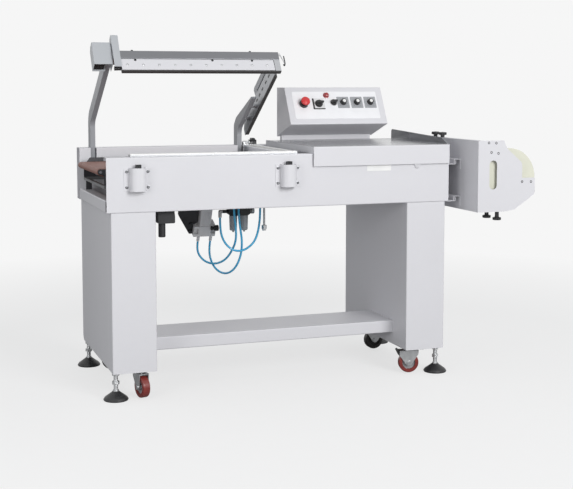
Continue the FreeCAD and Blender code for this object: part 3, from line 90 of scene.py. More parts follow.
def link(thing):
    """Put a new object into the scene."""
    bpy.context.scene.collection.objects.link(thing)


# ---------------------------------------------------------------- camera and lamps
def aim_camera():
    """Camera in front of the machine and to its left, at chest height, looking slightly down."""
    data = bpy.data.cameras.new("camera")
    data.sensor_width = 36.0
    data.lens = 73.6
    data.shift_y = -0.10
    data.clip_end = 100.0
    camera = bpy.data.objects.new("camera", data)
    camera.location = spot(-813, -4226, 1176)
    downward, rightward = 5.02, 19.47
    camera.rotation_euler = (math.radians(90 - downward), 0, math.radians(-rightward))
    link(camera)
    bpy.context.scene.camera = camera


def hang_lamp(name, place, target, size, power):
    """A round soft lamp turned to its target."""
    data = bpy.data.lights.new(name, "AREA")
    data.shape = "DISK"
    data.size = size
    data.energy = power
    lamp = bpy.data.objects.new(name, data)
    lamp.location = place
    lamp.rotation_euler = (target - place).to_track_quat("-Z", "Y").to_euler()
    link(lamp)


# ---------------------------------------------------------------- finishes as expressions
BACKGROUND = (0.922, 0.922, 0.922)


class Value:
    """A socket that can be added, multiplied and so on; each step adds a Math node."""

    def __init__(self, maker, socket):
        self.maker = maker
        self.socket = socket

    def math(self, operation, other=None, swap=False):
        """This value alone or with another, through one Math node; swap puts the other one first."""
        pair = [self] if other is None else [other, self] if swap else [self, other]
        return self.maker.node("ShaderNodeMath", {"operation": operation}, pair)

    def __add__(self, other):
        return self.math("ADD", other)

    def __sub__(self, other):
        return self.math("SUBTRACT", other)

    def __mul__(self, other):
        return self.math("MULTIPLY", other)

    def __truediv__(self, other):
        return self.math("DIVIDE", other)

    def __rsub__(self, other):
        return self.math("SUBTRACT", other, swap=True)

    __radd__ = __add__
    __rmul__ = __mul__

    def over(self, edge):
        """One above the edge, nought elsewhere."""
        return self.math("GREATER_THAN", edge)

    def under(self, edge):
        """One below the edge, nought elsewhere."""
        return self.math("LESS_THAN", edge)

    def clamp(self):
        """Held between nought and one."""
        return self.math("MAXIMUM", 0.0).math("MINIMUM", 1.0)


class Nodes:
    """A cleared node tree and the one way to add to it."""

    def __init__(self, tree):
        self.tree = tree
        tree.nodes.clear()

    def feed(self, socket, value):
        """Link a socket to a value, or set it to a number, a vector or a colour."""
        if isinstance(value, Value):
            self.tree.links.new(value.socket, socket)
        else:
            socket.default_value = (*value, 1.0) if socket.type == "RGBA" else value

    def node(self, kind, settings=None, inputs=(), output=0):
        """Add a node: its settings first, then its sockets by name or by order."""
        made = self.tree.nodes.new(kind)
        for key, value in (settings or {}).items():
            setattr(made, key, value)
        pairs = inputs.items() if isinstance(inputs, dict) else enumerate(inputs)
        for key, value in pairs:
            self.feed(made.inputs[key], value)
        return Value(self, made.outputs[output]) if made.outputs else None


class Finish(Nodes):
    """One material, with its nodes."""

    def __init__(self, name):
        self.material = bpy.data.materials.new(name)
        self.material.use_nodes = True
        super().__init__(self.material.node_tree)

    def place(self):
        """Object coordinates, in metres."""
        return self.node("ShaderNodeTexCoord", output="Object")

    def axis(self, index, source=None):
        """One coordinate: 0 is x, 1 is y, 2 is z."""
        return self.node("ShaderNodeSeparateXYZ", {}, [source or self.place()], output=index)

    def mapped(self, scale=(1, 1, 1), shift=(0, 0, 0)):
        """The same coordinates, scaled and moved."""
        return self.node("ShaderNodeMapping", {}, {
            "Vector": self.place(), "Location": shift, "Scale": scale})

    def noise(self, scale, detail=2.0, rough=0.5, vector=None):
        return self.node("ShaderNodeTexNoise", {}, {
            "Vector": vector or self.place(), "Scale": scale, "Detail": detail, "Roughness": rough}, "Fac")

    def noise_along(self, distance, detail):
        """Noise that changes with one distance only."""
        return self.node("ShaderNodeTexNoise", {"noise_dimensions": "1D"},
                         {"W": distance, "Scale": 1.0, "Detail": detail}, "Fac")

    def mix(self, factor, first, second, blend="MIX"):
        return self.node("ShaderNodeMix", {"data_type": "RGBA", "blend_type": blend},
                         {0: factor, 6: first, 7: second}, output=2)

    def toned(self, colour, tone):
        """A colour made darker or lighter by a value near one."""
        tint = self.node("ShaderNodeCombineColor", {}, [tone, tone, tone])
        return self.mix(1.0, colour, tint, "MULTIPLY")

    def bump(self, height, strength, distance):
        return self.node("ShaderNodeBump", {}, {
            "Height": height, "Strength": strength, "Distance": distance})

    def done(self, shader):
        """Send the shader to the output and give the material back."""
        self.node("ShaderNodeOutputMaterial", {}, {"Surface": shader})
        return self.material

    def surface(self, **sockets):
        """The one shader of this finish; sockets are named with underscores for spaces."""
        inputs = {key.replace("_", " "): value for key, value in sockets.items()}
        return self.done(self.node("ShaderNodeBsdfPrincipled", {}, inputs))


def powder_coat(name, colour, roughness=0.42, peel=0.10):
    """Baked powder paint: fine orange peel and the faintest unevenness of tone."""
    f = Finish(name)
    cloud = f.noise(2.2, 3.0)
    grime = f.noise(38.0, 4.0, 0.62)
    fine = f.noise(900.0, 2.0)
    tone = (cloud - 0.5) * 0.05 + (grime - 0.5) * 0.025 + 1.0
    return f.surface(Base_Color=f.toned(colour, tone), Roughness=roughness + (grime - 0.5) * 0.12,
                     Normal=f.bump(fine, peel, 0.0004))


def drawn_metal(name, colour, roughness, along=0):
    """Extruded or ground metal, with fine lines along one axis."""
    f = Finish(name)
    fine, drawn_out = 900.0, 10.8
    scale = [fine, fine, fine]
    scale[along] = drawn_out
    grain = f.noise(1.0, 4.0, 0.6, f.mapped(scale))
    cloud = f.noise(6.0, 2.0)
    tone = (grain - 0.5) * 0.22 + (cloud - 0.5) * 0.08 + 1.0
    return f.surface(Base_Color=f.toned(colour, tone), Metallic=1.0,
                     Roughness=(grain - 0.5) * 0.22 + roughness, Normal=f.bump(grain, 0.10, 0.0003))


def zinc_plate(name, colour):
    """Bright zinc: soft clouds and small scuffs."""
    f = Finish(name)
    cloud = f.noise(45.0, 4.0, 0.6)
    scuff = f.noise(1.0, 3.0, 0.7, f.mapped((300, 40, 300)))
    tone = (cloud - 0.5) * 0.25 + (scuff - 0.5) * 0.15 + 1.0
    return f.surface(Base_Color=f.toned(colour, tone), Metallic=1.0,
                     Roughness=(cloud - 0.5) * 0.3 + 0.36, Normal=f.bump(scuff, 0.08, 0.0003))


def moulded(name, colour, roughness, grain=0.12, coat=0.0):
    """Moulded plastic or rubber: a fine even grain."""
    f = Finish(name)
    pores = f.noise(1400.0)
    cloud = f.noise(22.0, 3.0)
    tone = (cloud - 0.5) * 0.12 + 1.0
    return f.surface(Base_Color=f.toned(colour, tone), Roughness=(cloud - 0.5) * 0.14 + roughness,
                     Normal=f.bump(pores, grain, 0.0003), Coat_Weight=coat)


def cast_skin(name, colour):
    """Sand-cast or hammered paint: coarse grains."""
    f = Finish(name)
    grains = f.noise(320.0, 4.0, 0.65)
    cloud = f.noise(14.0, 3.0)
    tone = (cloud - 0.5) * 0.35 + (grains - 0.5) * 0.2 + 1.0
    return f.surface(Base_Color=f.toned(colour, tone), Roughness=(grains - 0.5) * 0.3 + 0.6,
                     Normal=f.bump(grains, 0.35, 0.0006))


def belt_weave(name):
    """Coated woven belt: a fine weave, worn in streaks along the travel."""
    f = Finish(name)
    warp = (f.axis(1) * 1500.0).math("SINE")
    weft = (f.axis(0) * 1500.0).math("SINE")
    weave = warp * weft
    worn = f.noise(1.0, 4.0, 0.6, f.mapped((3.0, 26.0, 3.0)))
    base = f.mix(worn, (0.20, 0.085, 0.065), (0.33, 0.155, 0.12))
    return f.surface(Base_Color=base, Roughness=(worn - 0.5) * 0.2 + 0.55,
                     Normal=f.bump(weave, 0.25, 0.0003))


def rolled_film(name):
    """Wound shrink film: pale yellow layers, edge rings on the ends, soft bands along the roll."""
    f = Finish(name)
    low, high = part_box("film_roll")
    middle = (low + high) / 2
    centred = f.mapped(shift=(-middle.x, 0, -middle.z))
    x, z = f.axis(0, centred), f.axis(2, centred)
    radius = (x * x + z * z).math("SQRT")
    rings = f.noise_along(radius * 900.0, 4.0)
    bands = f.noise_along(f.axis(1) * 45.0, 5.0)
    film = f.mix(bands, (0.76, 0.76, 0.62), (0.88, 0.88, 0.78))
    film = f.mix((rings - 0.42).clamp(), film, (0.62, 0.62, 0.47))
    core_radius = 38.5 * MM
    card = f.mix(rings, (0.10, 0.10, 0.11), (0.16, 0.16, 0.17))
    return f.surface(Base_Color=f.mix(radius.under(core_radius), film, card),
                     Roughness=rings * 0.2 + 0.16, Normal=f.bump(rings + bands * 0.5, 0.12, 0.0004),
                     Coat_Weight=0.3)


def table_steel(name):
    """White enamel on the skirt; polished sheet with a few dull smears on top, a painted shadow towards the
    back and painted shade on the upturned flange.
    """
    f = Finish(name)
    low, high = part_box("film_table")
    skirt_top = low.z + 76 * MM
    # where the painted shadow of the control box on the top begins
    shadowed_from = high.y - 240 * MM
    y, z = f.axis(1), f.axis(2)
    steel = z.over(skirt_top - 0.6 * MM)
    upturned = z.over(skirt_top + 1.0 * MM)
    smear = f.noise(1.0, 3.0, 0.6, f.mapped((2.0, 7.0, 1.0)))
    grain = f.noise(1.0, 4.0, 0.6, f.mapped((700.0, 9.0, 700.0)))
    # painted shadow: the top darkens towards the back, where the control box's shadow falls
    back = ((y - shadowed_from) * 7.0).clamp()
    smeared_and_shaded = f.mix(smear, (0.43, 0.435, 0.45), (0.60, 0.605, 0.62))
    smeared_and_shaded = f.mix(back * 0.55, smeared_and_shaded, (0.30, 0.30, 0.315))
    # painted shade on the upturned flange's inner face
    smeared_and_shaded = f.mix(upturned, smeared_and_shaded, (0.25, 0.255, 0.265))
    return f.surface(Base_Color=f.mix(steel, (0.742, 0.738, 0.768), smeared_and_shaded),
                     Metallic=steel * 0.65, Roughness=steel * -0.20 + 0.42 + (smear - 0.5) * 0.10,
                     Normal=f.bump(grain * steel + f.noise(900.0) * 0.4, 0.06, 0.0003))


def air_set(name):
    """Black heads and knob of the regulator pair; fittings and pipe in bright metal."""
    f = Finish(name)
    low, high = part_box("air_bowls")
    x, z = f.axis(0), f.axis(2)
    heads = x.over(low.x - 30 * MM) * x.under(high.x + 8 * MM) * z.over(high.z - 12 * MM)
    cloud = f.noise(60.0, 4.0, 0.6)
    metal = f.mix(cloud, (0.42, 0.43, 0.44), (0.60, 0.61, 0.62))
    black = f.mix(cloud, (0.014, 0.014, 0.016), (0.034, 0.034, 0.037))
    return f.surface(Base_Color=f.mix(heads, metal, black), Metallic=1.0 - heads,
                     Roughness=(cloud - 0.5) * 0.2 + 0.38, Normal=f.bump(f.noise(900.0), 0.08, 0.0003))


def conveyor_paint(name):
    """Near-black enamel on the conveyor's frame, its darkness partly painted shade under the belt; a
    lighter band along its cross bar.
    """
    f = Finish(name)
    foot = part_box("conveyor_frame")[0].z
    z = f.axis(2)
    cloud = f.noise(30.0, 4.0, 0.6)
    rim = z.over(foot + 38 * MM) * z.under(foot + 52 * MM)
    # painted shade: the frame's near black stands partly for the shade under the belt
    dark = f.mix(cloud, (0.030, 0.031, 0.036), (0.060, 0.061, 0.068))
    light_line = f.mix(cloud, (0.13, 0.135, 0.14), (0.22, 0.225, 0.23))
    return f.surface(Base_Color=f.mix(rim, dark, light_line), Roughness=(cloud - 0.5) * 0.2 + 0.4,
                     Normal=f.bump(f.noise(900.0), 0.10, 0.0003))


def legend_plates(name):
    """Grey plates under the dials; the plate of the cam switch is pale with a dark edge."""
    f = Finish(name)
    x, z = f.axis(0), f.axis(2)
    cam = Vector(joints["cam_switch_turn"]["pos_m"])
    half, rim = 28 * MM, 20 * MM
    pale = x.over(cam.x - half) * x.under(cam.x + half)
    edge = x.under(cam.x - rim) + z.under(cam.z - rim)
    cloud = f.noise(120.0, 3.0)
    grey = f.mix(cloud, (0.30, 0.31, 0.33), (0.44, 0.45, 0.47))
    white = f.mix(cloud, (0.74, 0.74, 0.75), (0.82, 0.82, 0.83))
    plate = f.mix(pale * edge.clamp(), f.mix(pale, grey, white), (0.02, 0.02, 0.022))
    collar = x.under(cam.x - half)
    return f.surface(Base_Color=f.mix(collar, plate, (0.05, 0.05, 0.055)),
                     Roughness=(cloud - 0.5) * 0.12 + 0.4, Normal=f.bump(f.noise(1200.0), 0.06, 0.0003))


def foot_finish(name):
    """Levelling foot: black moulded pad below, bright zinc screw and nuts above."""
    f = Finish(name)
    pad_top, thread_pitch = 33.2 * MM, 2.0 * MM
    metal = f.axis(2).over(pad_top)
    cloud = f.noise(60.0, 4.0, 0.6)
    thread = ((f.axis(2) * (2 * math.pi / thread_pitch)).math("SINE") * 0.5 + 0.5) * metal
    zinc = f.mix(cloud, (0.46, 0.47, 0.48), (0.72, 0.73, 0.74))
    black = f.mix(cloud, (0.012, 0.012, 0.013), (0.035, 0.035, 0.038))
    return f.surface(Base_Color=f.mix(metal, black, zinc), Metallic=metal,
                     Roughness=(cloud - 0.5) * 0.25 + 0.42,
                     Normal=f.bump(thread, 0.35, 0.0006))


def castor_tread(name, joint):
    """Cast red tyre on a grey hub, told apart by the distance from the axle's middle."""
    f = Finish(name)
    middle = joints[joint]["pos_m"]
    x, y, z = (f.axis(index) - middle[index] for index in range(3))
    hub_radius = 27 * MM
    hub = (x * x + y * y + z * z).math("SQRT").under(hub_radius)
    cloud = f.noise(70.0, 3.0)
    tyre = f.mix(cloud, (0.16, 0.022, 0.02), (0.30, 0.05, 0.04))
    grey = f.mix(cloud, (0.26, 0.27, 0.28), (0.42, 0.43, 0.44))
    return f.surface(Base_Color=f.mix(hub, tyre, grey),
                     Roughness=(cloud - 0.5) * 0.2 + 0.32, Coat_Weight=0.25,
                     Normal=f.bump(f.noise(800.0), 0.08, 0.0003))


def clear_tube(name):
    """Polyurethane air line, blue through and through."""
    f = Finish(name)
    cloud = f.noise(30.0, 3.0)
    return f.surface(Base_Color=f.mix(cloud, (0.05, 0.52, 0.92), (0.14, 0.66, 1.0)),
                     Roughness=(cloud - 0.5) * 0.1 + 0.22, Coat_Weight=0.4, Subsurface_Weight=0.15,
                     Subsurface_Radius=(0.004, 0.006, 0.008),
                     Normal=f.bump(f.noise(500.0), 0.04, 0.0003))


def floor_finish(name):
    """Pale seamless sweep: it takes the machine's shadow and fades into the background far off."""
    f = Finish(name)
    x, y = f.axis(0), f.axis(1)
    away = (x * x + y * y).math("SQRT")
    first, width = 1.6, 2.0
    fade = ((away - first) / width).clamp() * 0.27 + 0.73
    seen = f.node("ShaderNodeLightPath", output="Is Camera Ray")
    speckled = f.mix(f.noise(14.0, 3.0), (0.9, 0.9, 0.9), (0.93, 0.93, 0.93))
    lit = f.mix(seen, (0.42, 0.42, 0.42), speckled)
    diffuse = f.node("ShaderNodeBsdfDiffuse", {}, {"Color": lit})
    glow = f.node("ShaderNodeEmission", {}, {"Color": BACKGROUND, "Strength": 1.0})
    return f.done(f.node("ShaderNodeMixShader", {}, [seen * fade, diffuse, glow]))


def light_world():
    """Even light from all round; the camera and reflections see the pale background."""
    world = bpy.data.worlds.new("studio")
    bpy.context.scene.world = world
    world.use_nodes = True
    sky = Nodes(world.node_tree)
    seen = sky.node("ShaderNodeLightPath", output="Is Camera Ray")
    mirrored = sky.node("ShaderNodeLightPath", output="Is Glossy Ray")
    soft = sky.node("ShaderNodeBackground", {}, {"Color": (0.96, 0.98, 1.0), "Strength": 0.45})
    pale = sky.node("ShaderNodeBackground", {}, {"Color": BACKGROUND, "Strength": 1.0})
    both = sky.node("ShaderNodeMixShader", {}, [seen.math("MAXIMUM", mirrored), soft, pale])
    sky.node("ShaderNodeOutputWorld", {}, {"Surface": both})


# ---------------------------------------------------------------- what each node is finished in
# each finish's maker, then what that maker asks for: mostly a colour and a roughness
recipes = {
    "body_paint": (powder_coat, (0.742, 0.738, 0.768)),
    "cover_paint": (powder_coat, (0.50, 0.52, 0.545), 0.38),
    "arm_paint": (powder_coat, (0.33, 0.342, 0.365), 0.34),
    "film_table": (table_steel,),
    "drawn_aluminium": (drawn_metal, (0.24, 0.245, 0.26), 0.36),
    "side_plate_aluminium": (drawn_metal, (0.50, 0.51, 0.53), 0.40, 1),
    "anodised_cylinder": (powder_coat, (0.86, 0.86, 0.865), 0.34, 0.06),
    "jaw_rail": (drawn_metal, (0.62, 0.63, 0.65), 0.3),
    "blued_steel": (drawn_metal, (0.20, 0.205, 0.215), 0.3),
    "ground_steel": (drawn_metal, (0.58, 0.59, 0.61), 0.22),
    "bright_zinc": (zinc_plate, (0.62, 0.63, 0.64)),
    "black_casting": (cast_skin, (0.022, 0.023, 0.026)),
    "black_enamel": (powder_coat, (0.022, 0.023, 0.026), 0.4),
    "conveyor_enamel": (conveyor_paint,),
    "white_silicone": (moulded, (0.88, 0.88, 0.87), 0.5),
    "dark_seal": (moulded, (0.055, 0.052, 0.052), 0.55),
    "coated_belt": (belt_weave,),
    "panel_overlay": (moulded, (0.93, 0.93, 0.95), 0.4, 0.06),
    "legend_plates": (legend_plates,),
    "black_plastic": (moulded, (0.018, 0.018, 0.020), 0.36, 0.12, 0.1),
    "red_plastic": (moulded, (0.66, 0.02, 0.025), 0.26, 0.04, 0.4),
    "lamp_lens": (moulded, (0.35, 0.015, 0.02), 0.18, 0.03, 0.6),
    "levelling_foot": (foot_finish,),
    "left_castor_tread": (castor_tread, "castor_front_left_spin"),
    "right_castor_tread": (castor_tread, "castor_front_right_spin"),
    # painted shade: the rear castors are like the front ones, but their tyres are near black as they stand
    # in shadow
    "dark_castor_tread": (moulded, (0.028, 0.024, 0.024), 0.4),
    "air_line": (clear_tube,),
    "bowl_guard": (moulded, (0.42, 0.44, 0.46), 0.22, 0.05, 0.5),
    "wound_film": (rolled_film,),
    "white_cap": (moulded, (0.88, 0.88, 0.87), 0.35, 0.05),
    "air_set": (air_set,),
    "blank_label": (moulded, (0.62, 0.62, 0.63), 0.35, 0.04),
}
finishes = {name: make(name, *details) for name, (make, *details) in recipes.items()}

# the nodes in each finish, by how their names begin
worn_by = {
    "body_paint": ["leg_", "lower_shelf", "front_panel", "rear_beam", "end_beam_left", "end_panel_right",
                   "cross_rail", "magnet_covers", "front_plate", "control_box", "cradle_frame"],
    "cover_paint": ["arm_covers"],
    "arm_paint": ["lever_"],
    "film_table": ["film_table"],
    "drawn_aluminium": ["front_bar"],
    "side_plate_aluminium": ["side_bar"],
    "anodised_cylinder": ["air_cylinder"],
    "jaw_rail": ["jaw_rails"],
    "ground_steel": ["idler_roller", "drive_roller", "arm_shaft", "piston_rod"],
    "bright_zinc": ["castor_plates", "castor_fork"],
    "black_casting": ["magnets", "gearmotor", "shaft_bearings"],
    "black_enamel": ["cylinder_bracket"],
    "conveyor_enamel": ["conveyor_frame"],
    "white_silicone": ["jaw_pads"],
    "dark_seal": ["seal_strips"],
    "coated_belt": ["conveyor_belt"],
    "panel_overlay": ["control_face"],
    "legend_plates": ["dial_plates"],
    "black_plastic": ["cam_switch_knob", "selector_knob", "dial_knob", "clamp_knobs", "brake_pedal"],
    "red_plastic": ["estop_button"],
    "lamp_lens": ["pilot_lamp"],
    "levelling_foot": ["levelling_feet"],
    "left_castor_tread": ["castor_wheel_front_left"],
    "right_castor_tread": ["castor_wheel_front_right"],
    "dark_castor_tread": ["castor_wheel_rear"],
    "bowl_guard": ["air_bowls"],
    "wound_film": ["film_roll"],
    "air_set": ["air_unit"],
}


def dress_nodes():
    """Give each node of the model its finish."""
    for name, node in nodes.items():
        for finish, beginnings in worn_by.items():
            if name.startswith(tuple(beginnings)):
                node.data.materials.clear()
                node.data.materials.append(finishes[finish])


# ---------------------------------------------------------------- modelling tools
def let_go():
    """Leave edit mode with nothing selected."""
    if bpy.context.mode != "OBJECT":
        bpy.ops.object.mode_set(mode="OBJECT")
    bpy.ops.object.select_all(action="DESELECT")


def pick_faces(piece, wanted):
    """Edit the piece with only those faces selected whose middle and normal are wanted."""
    bpy.context.view_layer.objects.active = piece
    bpy.ops.object.mode_set(mode="EDIT")
    bpy.ops.mesh.select_mode(type="FACE")
    bpy.ops.mesh.select_all(action="DESELECT")
    bpy.ops.object.mode_set(mode="OBJECT")
    for face in piece.data.polygons:
        face.select = wanted(face.center, face.normal)
    bpy.ops.object.mode_set(mode="EDIT")


def facing(way):
    """A test for the faces that look one way."""
    return lambda middle, normal: normal.dot(way) > 0.9


def pull(way, distance):
    """Extrude the selected faces along a direction, in millimetres."""
    bpy.ops.mesh.extrude_region_move(TRANSFORM_OT_translate={"value": way * distance * MM})


def resize(scale, about=(0, 0, 0)):
    """Scale what is selected about a place in millimetres."""
    bpy.ops.transform.resize(value=scale, center_override=Vector(about) * MM)


def inset(thickness, depth=0.0, each=False):
    """Frame the selected faces, together or each on its own, and raise or sink their middles."""
    bpy.ops.mesh.inset(thickness=thickness * MM, depth=depth * MM, use_individual=each)


def settle():
    """Write the selected objects' places into their meshes."""
    bpy.ops.object.transform_apply(location=True, rotation=True, scale=True)


def block(low, high):
    """A block between two corners in millimetres, to be shaped further."""
    let_go()
    low, high = Vector(low) * MM, Vector(high) * MM
    bpy.ops.mesh.primitive_cube_add(size=1, location=(low + high) / 2, scale=high - low)
    settle()
    return bpy.context.object


def turned(profile, sides=32):
    """A turned shape on +Z: radius and height, from a plain foot to the middle of its head."""
    (radius, foot), (_, height) = profile[:2]
    let_go()
    bpy.ops.mesh.primitive_cylinder_add(vertices=sides, radius=radius * MM, depth=(height - foot) * MM,
                                        location=(0, 0, (height + foot) / 2 * MM))
    piece = bpy.context.object
    settle()
    pick_faces(piece, facing(UP))
    for next_radius, next_height in profile[2:]:
        if (next_radius, next_height) == (radius, height):
            continue
        pull(UP, next_height - height)
        size = next_radius / radius
        resize((size, size, 1), (0, 0, next_height))
        radius, height = next_radius, next_height
    let_go()
    return piece


def complete(piece, name, place, finish, body, edge=0.4):
    """Break the edges, set the piece in its place and hand it to its body."""
    let_go()
    bpy.context.view_layer.objects.active = piece
    piece.select_set(True)
    broken = piece.modifiers.new("broken_edges", "BEVEL")
    broken.width = edge * MM
    broken.segments = 2
    broken.limit_method = "ANGLE"
    broken.angle_limit = math.radians(40)
    bpy.ops.object.modifier_apply(modifier=broken.name)
    piece.matrix_world = place
    settle()
    bpy.ops.object.shade_smooth_by_angle(angle=math.radians(35))
    piece.name = piece.data.name = name
    piece.data.materials.clear()
    piece.data.materials.append(finishes[finish])
    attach(piece, body)


def repeat(model, name, places, finish, body, edge=0.4):
    """Copies of one model, each with its own mesh."""
    for number, place in enumerate(places, 1):
        piece = model.copy()
        piece.data = model.data.copy()
        link(piece)
        complete(piece, f"{name}_{number}", place, finish, body, edge)
    bpy.data.objects.remove(model)


# ---------------------------------------------------------------- fasteners
def cap_screw(radius, height):
    """Washer, plain head and the socket in it."""
    return turned([(radius * 1.5, 0), (radius * 1.5, 1.0), (radius, 1.0), (radius, height - 0.5),
                   (radius * 0.88, height), (radius * 0.5, height), (radius * 0.5, height * 0.45)], 24)


def cover_screws():
    """Four screws through the flanges of each magnet cover."""
    places = []
    for centre in (100, 686):
        for side in (-40, 40):
            for height in (799, 857):
                places.append(on_machine @ stand((centre + side, -2, height), FRONT))
    repeat(cap_screw(3.8, 4.6), "cover_screw", places, "blued_steel", "machine", 0.2)


def cradle_screws():
    """Nearly flush screws in the front face of the cradle: two pairs at its top, one pair at its nose."""
    face = edges("cradle_frame")[0].y
    at = [(1483, 945), (1516, 944), (1495, 907), (1526, 903), (1635, 788), (1676, 787)]
    places = [on_machine @ stand((x, face, z), FRONT) for x, z in at]
    screw = turned([(5.6, -1.5), (5.6, -0.2), (4.6, 0.2), (2.6, 0.2), (2.6, -1.0)], 24)
    repeat(screw, "cradle_screw", places, "black_casting", "cradle", 0.1)


def plate_rivets():
    """A row of domed rivets sunk in the white plate of the sealing bar."""
    pitch, first_in, last_in = 62, 22, 9
    low, high = edges("front_plate")
    count = int(high.x - low.x - first_in - last_in) // pitch + 1
    rivet = turned([(4.6, 0), (4.6, 1.0), (3.9, 2.0), (2.2, 2.7), (0.8, 2.9)], 20)
    places = [on_arm @ stand((low.x + first_in + number * pitch, 19, 948), FRONT)
              for number in range(count)]
    repeat(rivet, "plate_rivet", places, "bright_zinc", "arm", 0.15)


def bar_bolts():
    """Hexagon heads on the bar's top edge, cap screws along its foot."""
    bolt = turned([(6.5, 0), (6.5, 1.2), (5.0, 1.2), (5.0, 4.6), (4.2, 5.2), (2.0, 5.2)], 6)
    tops = [on_arm @ stand((x, 22, 1012), UP) for x in (133, 607)]
    repeat(bolt, "bar_bolt", tops, "black_casting", "arm", 0.2)
    feet = [on_arm @ stand((x, 17, 970), FRONT) for x in (140, 445, 607)]
    repeat(cap_screw(3.2, 3.6), "bar_foot_screw", feet, "black_casting", "arm", 0.2)


# ---------------------------------------------------------------- fittings on the arm
def slot_plugs():
    """Black grommets in the slots of the side plate, their collars proud of its outer face."""
    plug = block((-3.6, -7.4, -3.6), (3.6, 7.4, 3.6))
    pick_faces(plug, lambda middle, normal: abs(normal.y) > 0.9)
    resize((1, 1, 0.62))
    pick_faces(plug, facing(LEFT))
    pull(LEFT, 0.9)
    pick_faces(plug, lambda middle, normal: middle.x < -3.7 * MM and abs(normal.x) < 0.1)
    bpy.ops.mesh.extrude_region_shrink_fatten(TRANSFORM_OT_shrink_fatten={"value": 2.4 * MM})
    let_go()
    slots = (112, 159, 210, 255, 296, 445)
    places = [on_arm @ Matrix.Translation(Vector((705.6, y, 962)) * MM) for y in slots]
    repeat(plug, "slot_plug", places, "black_plastic", "arm", 0.3)


def shading_terminal_block():
    """Terminal block in the bar's end box, a grid of wells that look down; its black fills the box's open
    underside as painted shade.
    """
    row = block((-11, 31, 961), (26, 70, 976))
    pick_faces(row, facing(DOWN))
    bpy.ops.mesh.subdivide(number_cuts=3)
    inset(1.4, each=True)
    pull(UP, 5)
    complete(row, "shading_terminal_block", on_arm, "black_plastic", "arm", 0.3)


def heater_lead_gland():
    """Ribbed gland where the sealing wire's lead enters the bar."""
    rings = [(8.5, 0), (8.5, 4)]
    for rib in range(4):
        start = 4 + rib * 5
        rings += [(6.0, start), (6.0, start + 2), (8.0, start + 2), (8.0, start + 5)]
    gland = turned(rings + [(4.5, 24), (4.5, 20)], 24)
    complete(gland, "lead_gland", on_arm @ stand((60, 37, 944), RIGHT), "black_plastic",
             "arm", 0.3)


def latch_strip():
    """Bent spring strip on the bar's right end."""
    strip = block((716, 16, 994), (729, 18.5, 1006))
    pick_faces(strip, facing(RIGHT))
    pull(Vector((9, 0, -30)), 1)
    resize((1, 1, 0.8), (738, 17, 970))
    pull(Vector((3, 0, -6)), 1)
    pick_faces(strip, facing(FRONT))
    inset(1.5, -0.5)
    complete(strip, "latch_strip", on_arm, "bright_zinc", "arm", 0.3)


def wire_hook():
    """Wire bent back on itself that hangs beside the latch strip."""
    let_go()
    bpy.ops.mesh.primitive_circle_add(vertices=12, radius=2.4 * MM, fill_type="NGON")
    hook = bpy.context.object
    bpy.ops.object.mode_set(mode="EDIT")
    bpy.ops.mesh.select_all(action="SELECT")
    pull(UP, 30)
    bpy.ops.mesh.spin(steps=14, angle=math.radians(200), center=Vector((0, 8, 30)) * MM, axis=(1, 0, 0))
    bpy.ops.mesh.select_all(action="SELECT")
    bpy.ops.mesh.remove_doubles(threshold=0.00005)
    bpy.ops.mesh.normals_make_consistent(inside=False)
    let_go()
    complete(hook, "wire_hook", on_arm @ stand((744, 19, 994), DOWN), "black_enamel",
             "arm", 0.3)


# ---------------------------------------------------------------- fittings on the body
def arm_switch():
    """Limit switch on the rear beam under the right lever, with its sprung plunger and stop."""
    foot = block((694, 578, 916), (752, 604, 919))
    pick_faces(foot, facing(LEFT))
    pull(LEFT, 4)
    pick_faces(foot, lambda middle, normal: normal.z > 0.9 and middle.x < 694 * MM)
    pull(UP, 12)
    complete(foot, "switch_foot", on_machine, "bright_zinc", "machine")

    case = block((718, 584, 919), (750, 602, 938))
    pick_faces(case, facing(FRONT))
    inset(3, -2)
    pick_faces(case, facing(UP))
    inset(5)
    pull(UP, 8)
    resize((0.7, 1, 1), (726, 593, 946))
    complete(case, "switch_case", on_machine, "black_plastic", "machine", 0.8)

    coils = [(6.0, 0), (6.0, 2)]
    for turn in range(6):
        start = 2 + turn * 3.6
        coils += [(4.2, start), (4.2, start + 1.2), (6.4, start + 2.0), (6.4, start + 2.8),
                  (4.2, start + 3.6)]
    plunger = turned(coils + [(7.5, 23.6), (7.5, 25.6), (6.0, 26.6)], 20)
    complete(plunger, "switch_plunger", on_machine @ stand((692, 588, 928), RIGHT), "bright_zinc",
             "machine", 0.15)
    stop = turned([(8, 0), (8, 5), (5, 5), (5, 16), (8.5, 16), (8.5, 24), (7, 25.5), (3, 25.5)], 6)
    complete(stop, "arm_stop", on_machine @ stand((737, 590, 919), UP), "black_casting",
             "machine", 0.4)


def motor_bracket():
    """Folded bracket that hangs the gearmotor from the conveyor's side."""
    bracket = block((208, 84, 712), (254, 88, 790))
    pick_faces(bracket, facing(DOWN))
    pull(DOWN, 4)
    pick_faces(bracket, lambda middle, normal: normal.y < -0.9 and middle.z < 712 * MM)
    pull(FRONT, 16)
    pick_faces(bracket, lambda middle, normal: normal.y < -0.9 and middle.z > 712 * MM)
    inset(9, -1.5)
    complete(bracket, "motor_bracket", on_machine, "black_enamel", "machine", 0.6)


def flow_control():
    """Speed screw at the cylinder's side: plain foot and neck, stepped knob and its end ring."""
    knob = turned([(9, 0), (9, 6), (6.5, 6), (6.5, 12), (11, 13), (11, 20), (13, 21), (13, 30), (11.5, 32),
                   (5, 32), (5, 28)], 24)
    complete(knob, "flow_control", on_machine @ stand((529, 530, 568.5), RIGHT), "black_casting",
             "machine", 0.4)


